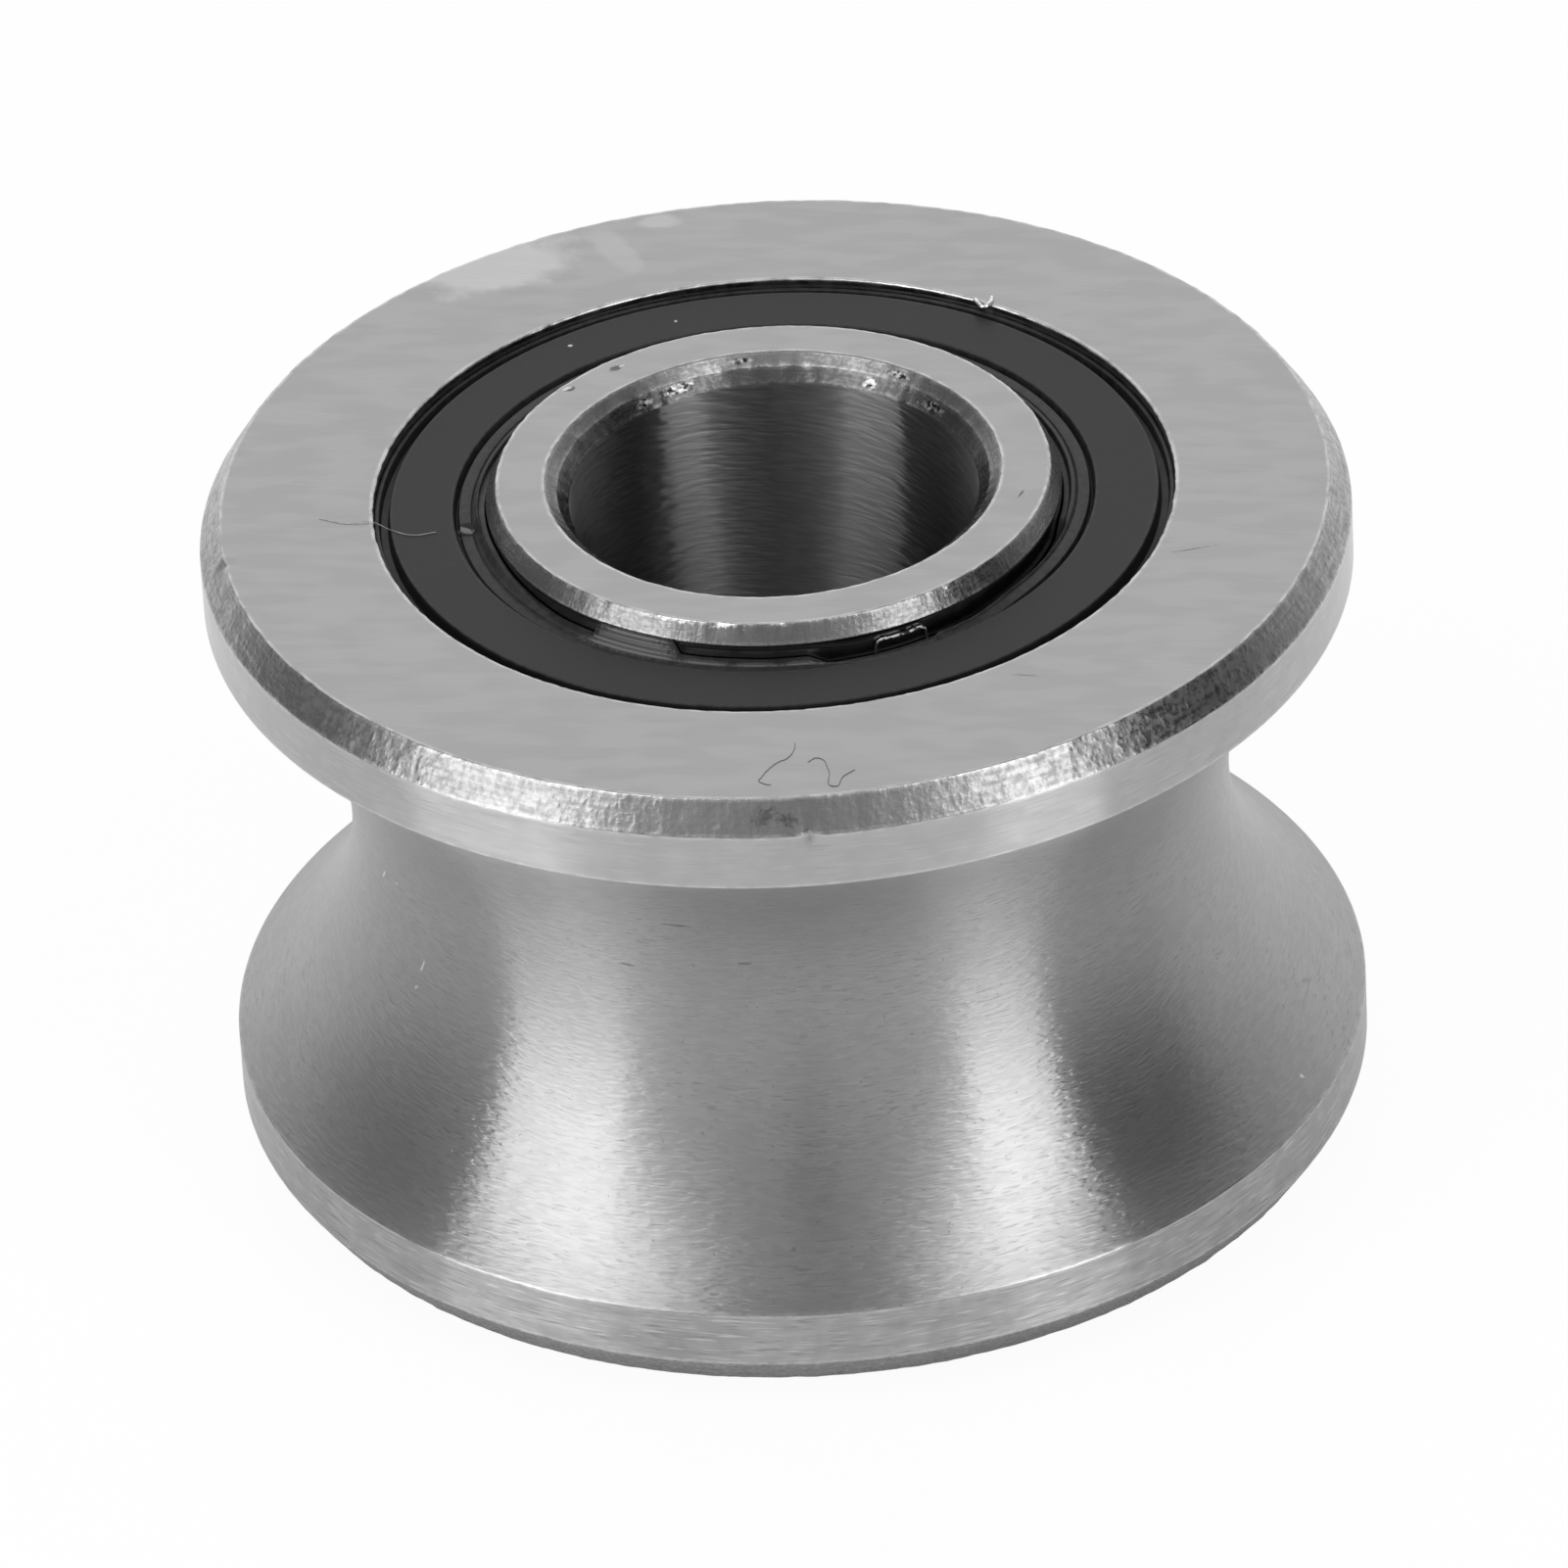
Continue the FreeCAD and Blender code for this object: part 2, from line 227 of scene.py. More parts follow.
def bump_at(angle, degrees, spread):
    """1 at one place round the turn, falling to 0 over a few degrees."""
    away = (math.degrees(angle) - degrees + 180) % 360 - 180
    return math.exp(-(away / spread) ** 2)


def near(spot, radius, height, reach):
    """1 at one corner of the outline, falling to 0 over a short reach."""
    return math.exp(-((spot.radius - radius) ** 2 + (spot.height - height) ** 2) / reach ** 2)


print(f"a bump 2 degrees wide falls to {bump_at(math.radians(2.0), 0.0, 2.0):.2f} after 2 degrees")

# %% [markdown]
# ## Shader building blocks
#
# Materials share a few effects, so each effect is a node group with named inputs. A group measures
# where a point lies on the ring, in millimetres and in the object's own coordinates, so that marks
# turn with the piece. A few small helpers keep the graphs readable: some add a node and feed it, others
# open a new group with its sockets or place one.

# %% Node helpers
def add(tree, kind, inputs=None, **settings):
    """Adds a node, sets its options, and feeds its inputs with values or with other nodes' sockets."""
    made = tree.nodes.new(kind)
    for option, setting in settings.items():
        setattr(made, option, setting)
    for name, value in (inputs or {}).items():
        if isinstance(value, bpy.types.NodeSocket):
            tree.links.new(value, made.inputs[name])
        else:
            made.inputs[name].default_value = value
    return made


def maths(tree, operation, first, second=0.0):
    """The result of one sum on numbers."""
    return add(tree, "ShaderNodeMath", {0: first, 1: second}, operation=operation).outputs[0]


def spread(tree, value, low, high, to_low=0.0, to_high=1.0):
    """Maps a value's range to another range, clamped."""
    inputs = {"Value": value, "From Min": low, "From Max": high, "To Min": to_low, "To Max": to_high}
    return add(tree, "ShaderNodeMapRange", inputs).outputs["Result"]


def blend(tree, factor, first, second):
    """Mixes two colours, which a Mix node takes at its inputs 6 and 7 and puts out at its output 2."""
    return add(tree, "ShaderNodeMix", {0: factor, 6: first, 7: second}, data_type="RGBA").outputs[2]


def grey(value):
    return (value, value, value, 1.0)


print(f"a colour for a socket: {grey(0.5)}")


# %% Group helpers
def new_group(name, inputs, output):
    """A shader group of numbers and vectors in and one number out."""
    tree = bpy.data.node_groups.new(name, "ShaderNodeTree")
    for label, value in inputs.items():
        kind = "NodeSocketVector" if isinstance(value, tuple) else "NodeSocketFloat"
        socket = tree.interface.new_socket(label, in_out="INPUT", socket_type=kind)
        socket.default_value = value
    tree.interface.new_socket(output, in_out="OUTPUT", socket_type="NodeSocketFloat")
    given = tree.nodes.new("NodeGroupInput").outputs
    result = tree.nodes.new("NodeGroupOutput").inputs[output]
    print(f"group {name}: {', '.join(inputs)} in, {output} out")
    return tree, given, result


def use(tree, group, **values):
    """Places a group with its own values and returns what it puts out."""
    return add(tree, "ShaderNodeGroup", values, node_tree=group).outputs[0]


def vector_maths(tree, operation, first, second=(0.0, 0.0, 0.0)):
    """The result of one sum on vectors: a number for a length or a dot product, else a vector."""
    output = "Value" if operation in ("LENGTH", "DOT_PRODUCT") else "Vector"
    return add(tree, "ShaderNodeVectorMath", {0: first, 1: second}, operation=operation).outputs[output]


def parts_of(tree, vector):
    """A vector's three numbers."""
    return add(tree, "ShaderNodeSeparateXYZ", {0: vector}).outputs


def place_mm(tree):
    """Where the shaded point is, in the piece's own coordinates, in millimetres."""
    where = add(tree, "ShaderNodeTexCoord").outputs["Object"]
    return add(tree, "ShaderNodeVectorMath", {0: where, "Scale": 1 / MM}, operation="SCALE").outputs[0]


# %% [markdown]
# ## Marks of the tools
#
# A lathe or a grinding wheel leaves short streaks round the axis. Stretching a noise along the angle
# would show a seam where the angle jumps from 360 to 0, so the point is put on a circle instead: its
# direction from the axis, times a radius, gives two coordinates that close on themselves. Height and
# radius, divided by the width of a streak, give the other two coordinates of a four-dimensional noise.

# %% Streaks round the axis
def streaks_group():
    tree, given, result = new_group(
        "Streaks round the axis",
        {"Length": 0.5, "Width": 0.03, "Slant": 0.0, "Detail": 2.0, "Seed": 0.0}, "Streaks")
    x, y, z = parts_of(tree, place_mm(tree))
    flat = add(tree, "ShaderNodeCombineXYZ", {0: x, 1: y}).outputs[0]
    radius = vector_maths(tree, "LENGTH", flat)
    typical_radius = 9.0
    circle = maths(tree, "DIVIDE", typical_radius, given["Length"])
    around_x = maths(tree, "MULTIPLY", maths(tree, "DIVIDE", x, radius), circle)
    around_y = maths(tree, "MULTIPLY", maths(tree, "DIVIDE", y, radius), circle)
    level = maths(tree, "ADD", z, maths(tree, "MULTIPLY", x, given["Slant"]))
    up = maths(tree, "DIVIDE", level, given["Width"])
    out = maths(tree, "ADD", maths(tree, "DIVIDE", radius, given["Width"]), given["Seed"])
    vector = add(tree, "ShaderNodeCombineXYZ", {0: around_x, 1: around_y, 2: up}).outputs[0]
    inputs = {"Vector": vector, "W": out, "Scale": 1.0, "Detail": given["Detail"], "Roughness": 0.6}
    pattern = add(tree, "ShaderNodeTexNoise", inputs, noise_dimensions="4D").outputs["Fac"]
    usual_low = 0.32
    usual_high = 0.68
    tree.links.new(spread(tree, pattern, usual_low, usual_high), result)
    return tree


streaks = streaks_group()


# %% [markdown]
# End faces are ground flat on a table, so their marks are straight and all run much the same way. A
# turned chamfer is rougher: the tool tears small pits that glitter under a lamp. Handling leaves haze,
# and dust falls anywhere. Each of these is a group of its own.

# %% Straight scratches
def scratches_group():
    tree, given, result = new_group(
        "Straight scratches",
        {"Turn": 0.0, "Length": 6.0, "Width": 0.04, "Rarity": 0.6, "Seed": 0.0}, "Scratches")
    turn = add(tree, "ShaderNodeCombineXYZ", {2: given["Turn"]}).outputs[0]
    rotated = add(tree, "ShaderNodeVectorRotate", {"Vector": place_mm(tree), "Rotation": turn},
                  rotation_type="EULER_XYZ").outputs[0]
    x, y, z = parts_of(tree, rotated)
    along = maths(tree, "DIVIDE", x, given["Length"])
    across = maths(tree, "DIVIDE", y, given["Width"])
    vector = add(tree, "ShaderNodeCombineXYZ", {0: along, 1: across, 2: given["Seed"]}).outputs[0]
    inputs = {"Vector": vector, "Scale": 1.0, "Detail": 1.0, "Roughness": 0.5}
    pattern = add(tree, "ShaderNodeTexNoise", inputs).outputs["Fac"]
    scratch_ramp = 0.16
    strong = maths(tree, "ADD", given["Rarity"], scratch_ramp)
    tree.links.new(spread(tree, pattern, given["Rarity"], strong), result)
    return tree


scratches = scratches_group()


# %% Grain, for pits and haze
def grain_group():
    tree, given, result = new_group(
        "Grain", {"Size": 0.06, "Low": 0.4, "High": 0.6, "Detail": 3.0, "Seed": 0.0}, "Grain")
    moved = vector_maths(tree, "DIVIDE", place_mm(tree), given["Size"])
    inputs = {
        "Vector": moved, "W": given["Seed"], "Scale": 1.0, "Detail": given["Detail"], "Roughness": 0.55,
    }
    pattern = add(tree, "ShaderNodeTexNoise", inputs, noise_dimensions="4D").outputs["Fac"]
    tree.links.new(spread(tree, pattern, given["Low"], given["High"]), result)
    return tree


grain = grain_group()


# %% Dust specks
def dust_group():
    tree, given, result = new_group("Dust specks", {"Spacing": 0.8, "Size": 0.05, "Share": 0.2}, "Dust")
    moved = vector_maths(tree, "DIVIDE", place_mm(tree), given["Spacing"])
    cells = add(tree, "ShaderNodeTexVoronoi", {"Vector": moved, "Scale": 1.0})
    pick = add(tree, "ShaderNodeSeparateColor", {0: cells.outputs["Color"]}).outputs
    chosen = maths(tree, "LESS_THAN", pick["Red"], given["Share"])
    size = maths(tree, "DIVIDE", given["Size"], given["Spacing"])
    smallest = 0.3
    reach = maths(tree, "MULTIPLY", size, maths(tree, "ADD", pick["Green"], smallest))
    inside = maths(tree, "LESS_THAN", cells.outputs["Distance"], reach)
    tree.links.new(maths(tree, "MULTIPLY", chosen, inside), result)
    return tree


dust = dust_group()


# %% [markdown]
# Edges are brighter than the faces beside them, partly from wear and partly as a painted highlight along
# each edge. The lathe helper marked every softened corner with an attribute named edge, and the
# brightening is that mark broken up by a fine noise.

# %% Worn edges with a painted highlight
def edge_wear_and_highlight_group():
    tree, given, result = new_group("Edge wear and painted highlight", {"Size": 0.15, "Amount": 0.6}, "Wear")
    edge = add(tree, "ShaderNodeAttribute", attribute_name="edge").outputs["Fac"]
    broken = use(tree, grain, Size=given["Size"], Low=0.35)
    # The edge mark stands for a little real wear and for a painted highlight along the edge.
    worn_and_highlit = maths(tree, "MULTIPLY", maths(tree, "MULTIPLY", edge, broken), given["Amount"])
    tree.links.new(worn_and_highlit, result)
    return tree


edge_wear_and_highlight = edge_wear_and_highlight_group()


# %% [markdown]
# Some marks are single: a scuff, a nick, a smudge, a painted glint. One group draws an oval at a place, with
# two directions divided by the oval's half sizes, and a noise makes its rim ragged.

# %% Single marks
MARK_START = 1.25
MARK_FULL = 0.85
MARK_REACH = 3.0


def mark_group():
    tree, given, result = new_group("Single mark", {
        "Centre": (0.0, 0.0, 0.0), "Along": (1.0, 0.0, 0.0), "Across": (0.0, 1.0, 0.0), "Ragged": 0.5,
    }, "Mark")
    away = vector_maths(tree, "SUBTRACT", place_mm(tree), given["Centre"])
    along = vector_maths(tree, "DOT_PRODUCT", away, given["Along"])
    across = vector_maths(tree, "DOT_PRODUCT", away, given["Across"])
    oval = add(tree, "ShaderNodeCombineXYZ", {0: along, 1: across}).outputs[0]
    reach = vector_maths(tree, "LENGTH", oval)
    uneven = use(tree, grain, Size=0.07, Low=0.25, High=0.75)
    rim = maths(tree, "ADD", reach, maths(tree, "MULTIPLY", uneven, given["Ragged"]))
    inside = spread(tree, rim, MARK_START, MARK_FULL)
    here = maths(tree, "LESS_THAN", vector_maths(tree, "LENGTH", away), MARK_REACH)
    tree.links.new(maths(tree, "MULTIPLY", inside, here), result)
    return tree


mark = mark_group()


# %% [markdown]
# ## Finishes
#
# Every finish starts the same way: a material with one Principled shader. A steel finish then differs
# in the marks that feed its colour, its roughness and its bump. Bump heights are real: a few
# thousandths of a millimetre, as a ground or turned surface has.

# %% Start a material
def new_finish(name, **sockets):
    """A material, its nodes and its Principled shader, with some of the shader's own sockets set."""
    print("finish", name)
    material = bpy.data.materials.new(name)
    material.use_nodes = True
    tree = material.node_tree
    shader = tree.nodes["Principled BSDF"]
    for label, value in sockets.items():
        shader.inputs[label.replace("_", " ")].default_value = value
    return material, tree, shader


def feed(tree, shader, colour, roughness=None, height=None, depth=0.001):
    """Feeds a shader's colour, roughness and bump. depth is the bump's full height in millimetres."""
    tree.links.new(colour, shader.inputs["Base Color"])
    if roughness is not None:
        tree.links.new(roughness, shader.inputs["Roughness"])
    if height is not None:
        bump = add(tree, "ShaderNodeBump", {"Height": height, "Strength": 1.0, "Distance": depth * MM})
        tree.links.new(bump.outputs[0], shader.inputs["Normal"])


# %% Several marks and weighted sums
def marks_on(tree, places, ragged=0.6):
    """The mask of several single marks. A place is a centre, half length, half width, slope and on_wall.

    A mark on a wall runs round the axis, one on a flat face along X, and slope tilts it.
    """
    total = None
    for centre, half_long, half_wide, slope, on_wall in places:
        x, y, z = centre
        around = math.atan2(y, x) if on_wall else math.radians(-90)
        run = Vector((-math.sin(around), math.cos(around), 0.0))
        rise = Vector((0.0, 0.0, 1.0)) if on_wall else Vector((0.0, 1.0, 0.0))
        along = (run * math.cos(slope) + rise * math.sin(slope)) / half_long
        across = (rise * math.cos(slope) - run * math.sin(slope)) / half_wide
        one = use(tree, mark, Centre=centre, Along=along, Across=across, Ragged=ragged)
        total = one if total is None else maths(tree, "MAXIMUM", total, one)
    return total


def weigh(tree, *pairs):
    """Adds several values, each times its own weight."""
    total = None
    for value, weight in pairs:
        part = maths(tree, "MULTIPLY", value, weight)
        total = part if total is None else maths(tree, "ADD", total, part)
    return total


# %% [markdown]
# ### Ground end faces
#
# The ring's end faces are flat, pale and even, with faint straight grinding lines. On one side an
# oil film has dried in a paler patch. The patch has a place of its own, an oval on the face whose rim
# is broken by noise, so it stays where it is when the part is seen from another side.

# %% Ground end faces
STEEL = 0.44
FILM_PATCHES = (
    ((-5.15, 8.88), (1.38, 0.85), 0.45, 1.0), ((-2.95, 9.40), (0.95, 0.32), -1.08, 0.45),
    ((-2.05, 10.30), (0.42, 0.25), 0.1, 0.8),
)


def film_mask(tree):
    """The dried film: ovals on the upper face, given as centre, half sizes, turn and strength."""
    x, y, z = parts_of(tree, place_mm(tree))
    uneven = use(tree, grain, Size=0.8, Low=0.2, High=0.8, Seed=4.0)
    total = None
    for (centre_x, centre_y), (half_x, half_y), turn, strength in FILM_PATCHES:
        right = maths(tree, "SUBTRACT", x, centre_x)
        ahead = maths(tree, "SUBTRACT", y, centre_y)
        along = weigh(tree, (right, math.cos(turn) / half_x), (ahead, math.sin(turn) / half_x))
        across = weigh(tree, (right, -math.sin(turn) / half_y), (ahead, math.cos(turn) / half_y))
        oval = add(tree, "ShaderNodeCombineXYZ", {0: along, 1: across}).outputs[0]
        rim = weigh(tree, (vector_maths(tree, "LENGTH", oval), 1.0), (uneven, 1.0))
        mask = spread(tree, rim, 1.75, 1.25, 0.0, strength)
        total = mask if total is None else maths(tree, "MAXIMUM", total, mask)
    upper = maths(tree, "GREATER_THAN", z, MIDDLE)
    return maths(tree, "MULTIPLY", total, upper)


def ground_face(name, with_film, nicks, glints=()):
    material, tree, shader = new_finish(name, Metallic=1.0, Roughness=0.4)
    fine = use(tree, scratches, Turn=0.12, Length=2.4, Width=0.03, Rarity=0.46, Seed=1.0)
    long = use(tree, scratches, Turn=0.26, Length=7.0, Width=0.035, Rarity=0.66, Seed=7.0)
    cross = use(tree, scratches, Turn=-0.30, Length=5.0, Width=0.03, Rarity=0.67, Seed=13.0)
    clouds = use(tree, scratches, Turn=0.10, Length=1.5, Width=0.5, Rarity=0.42, Seed=17.0)
    haze = use(tree, grain, Size=2.6, Low=0.35, High=0.65, Seed=2.0)
    worn_and_highlit = use(tree, edge_wear_and_highlight, Size=0.35, Amount=0.85)
    tone = weigh(tree, (haze, 0.45), (clouds, 0.35), (fine, 0.20))
    colour = blend(tree, tone, grey(STEEL * 0.88), grey(STEEL * 1.06))
    colour = blend(tree, maths(tree, "MAXIMUM", long, cross), colour, grey(STEEL * 1.12))
    if with_film:
        film = film_mask(tree)
        colour = blend(tree, maths(tree, "MULTIPLY", film, 0.95), colour, grey(STEEL * 1.32))
    nicked = marks_on(tree, nicks)
    colour = blend(tree, nicked, colour, grey(STEEL * 0.35))
    # Glints are painted highlights: bright spots at the rims of nicks, where a lit edge shows.
    if glints:
        colour = blend(tree, marks_on(tree, glints), colour, grey(STEEL * 1.8))
    # Edges take a paler tone: a little wear and a painted highlight along them.
    colour = blend(tree, worn_and_highlit, colour, grey(STEEL * 1.6))
    roughness = spread(tree, weigh(tree, (haze, 0.6), (fine, 0.4)), 0.0, 1.0, 0.34, 0.46)
    height = weigh(tree, (fine, 0.5), (long, -1.0), (cross, -1.0), (nicked, -6.0))
    feed(tree, shader, colour, roughness, height, 0.0015)
    return material


# %% [markdown]
# ### Turned chamfers
#
# A chamfer is cut in one quick pass and never ground. Its tool marks and pits scatter the light into
# separate glints, which is why it flashes where it faces a lamp and stays dark beside it.

# %% Turned chamfers
def turned_chamfer(name, tone, size, tear, chatter=0.25, smudges_and_glints=(), shade=0.6, chips_and_glints=(), rim=1.6):
    """A turned cut of a tone. size is how wide its torn marks are and tear how high, in millimetres."""
    material, tree, shader = new_finish(name, Metallic=1.0, Roughness=0.25)
    rings = use(tree, streaks, Length=0.9, Width=0.6 * size, Detail=1.0, Seed=3.0)
    waves = use(tree, streaks, Length=0.12, Width=0.5, Detail=1.0, Seed=9.0)
    torn = use(tree, grain, Size=size, Low=0.40, High=0.60, Detail=1.0, Seed=5.0)
    patches = use(tree, grain, Size=0.4, Low=0.35, High=0.65, Detail=2.0, Seed=11.0)
    worn_and_highlit = use(tree, edge_wear_and_highlight, Size=size, Amount=0.9)
    smooth = weigh(tree, (torn, 0.4), (rings, 0.4), (patches, 0.2))
    colour = blend(tree, smooth, grey(tone * 0.78), grey(tone * 1.22))
    # Marks of a shade below 1 are dark smudges; marks of a shade above 1 are painted highlights.
    if smudges_and_glints:
        colour = blend(tree, marks_on(tree, smudges_and_glints, 1.1), colour, grey(tone * shade))
    # Chipped patches with near-black flecks and pale flecks. The pale flecks are painted glints.
    if chips_and_glints:
        flakes = use(tree, grain, Size=0.09, Low=0.40, High=0.60, Detail=1.0, Seed=19.0)
        chipped_and_glinting = blend(tree, flakes, grey(0.02), grey(0.55))
        colour = blend(tree, marks_on(tree, chips_and_glints, 0.8), colour, chipped_and_glinting)
    # Edges take rim times the tone: a little wear and a painted highlight along them.
    colour = blend(tree, worn_and_highlit, colour, grey(tone * rim))
    roughness = spread(tree, smooth, 0.0, 1.0, 0.40, 0.18)
    height = weigh(tree, (rings, 0.45), (waves, chatter), (torn, 0.5), (patches, 3.0 * chatter))
    feed(tree, shader, colour, roughness, height, tear)
    return material


# %% [markdown]
# ### Ground lands and groove
#
# The lands and the rail groove are ground with a spinning wheel, so they carry fine streaks round the
# axis. Streaks spread a reflection across themselves, and that makes each lamp a tall bright column in
# the groove. Cycles does this with an anisotropic shader whose tangent runs round the axis, turned a
# quarter so that the blur runs along the axis.

# %% Streaked steel
def round_tangent(tree, shader):
    """Gives a shader a tangent that runs round the axis."""
    tangent = add(tree, "ShaderNodeTangent", direction_type="RADIAL", axis="Z").outputs[0]
    tree.links.new(tangent, shader.inputs["Tangent"])


def ground_round(name, roughness):
    """The start of a steel finish with streaks round the axis."""
    material, tree, shader = new_finish(
        name, Metallic=1.0, Roughness=roughness, Anisotropic=1.0, Anisotropic_Rotation=0.25)
    round_tangent(tree, shader)
    return material, tree, shader


# %% Ground lands
def ground_land(name, tone, scuff):
    """A land of a tone. scuff is how strongly dashes and patches from use show, from 0 to 1."""
    material, tree, shader = ground_round(name, 0.21)
    smear = use(tree, streaks, Length=1.6, Width=0.22, Seed=21.0)
    dashes = use(tree, streaks, Length=0.6, Width=0.05, Detail=1.0, Seed=25.0)
    haze = use(tree, grain, Size=0.5, Low=0.35, High=0.65, Seed=6.0)
    worn_and_highlit = use(tree, edge_wear_and_highlight, Size=0.25, Amount=0.6)
    dark_dash = maths(tree, "MULTIPLY", spread(tree, dashes, 0.35, 0.0), haze)
    pale_dash = spread(tree, dashes, 0.80, 1.0)
    uneven = weigh(tree, (smear, 0.5), (haze, 0.5))
    colour = blend(tree, uneven, grey(tone * (0.93 - 0.20 * scuff)), grey(tone * 1.07))
    colour = blend(tree, maths(tree, "MULTIPLY", dark_dash, 0.15 + 0.7 * scuff), colour, grey(tone * 0.5))
    colour = blend(tree, maths(tree, "MULTIPLY", pale_dash, 0.1 + 0.6 * scuff), colour, grey(tone * 1.4))
    # Edges take a paler tone: a little wear and a painted highlight along them.
    colour = blend(tree, worn_and_highlit, colour, grey(tone * 1.4))
    roughness = spread(tree, smear, 0.0, 1.0, 0.18, 0.24)
    height = weigh(tree, (dashes, 0.3 + 0.7 * scuff), (haze, 0.5))
    feed(tree, shader, colour, roughness, height, 0.0012)
    return material


# %% Ground groove
def ground_groove(name, scuffs_and_glint, dashes):
    """The rail groove, with its pale scuffs, one painted glint and dark dashes at their own places."""
    material, tree, shader = ground_round(name, 0.28)
    fine = use(tree, streaks, Length=0.3, Width=0.03, Seed=31.0)
    scales = use(tree, streaks, Length=0.34, Width=0.075, Detail=1.0, Seed=37.0)
    nicks = use(tree, streaks, Length=0.24, Width=0.045, Detail=0.0, Seed=39.0)
    haze = use(tree, grain, Size=1.6, Low=0.35, High=0.65, Seed=8.0)
    blotch = use(tree, grain, Size=0.35, Low=0.3, High=0.7, Seed=17.0)
    pores = use(tree, grain, Size=0.10, Low=0.70, High=0.75, Detail=1.0, Seed=15.0)
    worn_and_highlit = use(tree, edge_wear_and_highlight, Size=0.3, Amount=0.5)
    low_nick = maths(tree, "MULTIPLY", spread(tree, nicks, 0.10, 0.0), haze)
    flecks = spread(tree, scales, 0.35, 0.75)
    tone = weigh(tree, (flecks, 0.35), (haze, 0.35), (blotch, 0.30))
    colour = blend(tree, tone, grey(STEEL * 0.86), grey(STEEL * 1.01))
    colour = blend(tree, maths(tree, "MULTIPLY", low_nick, 0.5), colour, grey(STEEL * 0.6))
    colour = blend(tree, maths(tree, "MULTIPLY", pores, 0.5), colour, grey(STEEL * 0.5))
    # Pale scuffs, and one painted glint, at their own places.
    colour = blend(tree, marks_on(tree, scuffs_and_glint, 1.0), colour, grey(STEEL * 1.7))
    colour = blend(tree, marks_on(tree, dashes), colour, grey(STEEL * 0.55))
    # Edges take a paler tone: a little wear and a painted highlight along them.
    colour = blend(tree, worn_and_highlit, colour, grey(STEEL * 1.45))
    roughness = spread(tree, fine, 0.0, 1.0, 0.30, 0.36)
    height = weigh(tree, (fine, 0.15), (flecks, 1.0), (low_nick, -0.4), (pores, -0.2), (blotch, 0.1))
    feed(tree, shader, colour, roughness, height, 0.0024)
    return material


# %% [markdown]
# ### Bore and lead-ins
#
# The bore is honed: its marks slant a little, and it sees mostly its own dark inside, so it reads as
# dark steel with two brighter bands where the lamps reach. Honing lines spread light much further along
# the bore than round it. A Principled shader stretches a reflection ten to one at most, which leaves the
# bands too wide, so a Glossy shader that stretches further is mixed in. The inner surfaces that nobody
# sees, the seal seats and the raceways, still get plain turned and polished finishes.

# %% Honed bore
LINES_SHARE = 0.75


def honed_bore(name):
    """Slanted honing strokes on a Principled shader, mixed with a Glossy one that stretches further."""
    material, tree, shader = ground_round(name, 0.4)
    strokes = use(tree, streaks, Length=1.3, Width=0.10, Slant=0.14, Detail=1.0, Seed=41.0)
    colour = blend(tree, spread(tree, strokes, 0.30, 0.75), grey(STEEL * 0.46), grey(STEEL * 0.70))
    feed(tree, shader, colour, spread(tree, strokes, 0.0, 1.0, 0.36, 0.42), strokes, 0.009)
    look = {"Color": grey(STEEL * 0.62), "Roughness": 0.29, "Anisotropy": 0.83}
    lines = add(tree, "ShaderNodeBsdfAnisotropic", look)
    round_tangent(tree, lines)
    tree.links.new(shader.inputs["Normal"].links[0].from_socket, lines.inputs["Normal"])
    both = add(tree, "ShaderNodeMixShader", {0: LINES_SHARE, 1: shader.outputs[0], 2: lines.outputs[0]})
    tree.links.new(both.outputs[0], tree.nodes["Material Output"].inputs["Surface"])
    return material


# %% Polished raceways
def polished_race(name, tone):
    material, tree, shader = new_finish(name, Metallic=1.0, Roughness=0.12)
    fine = use(tree, streaks, Length=4.0, Width=0.05, Seed=51.0)
    colour = blend(tree, fine, grey(tone * 0.93), grey(tone * 1.07))
    feed(tree, shader, colour, spread(tree, fine, 0.0, 1.0, 0.10, 0.16))
    return material


# %% [markdown]
# ### Rubber, nylon and balls
#
# The seals are moulded black rubber with a satin face, a faint grain from the mould and a little
# dust. The cages and balls are shut inside, so they keep the CAD meshes and get simple true finishes.

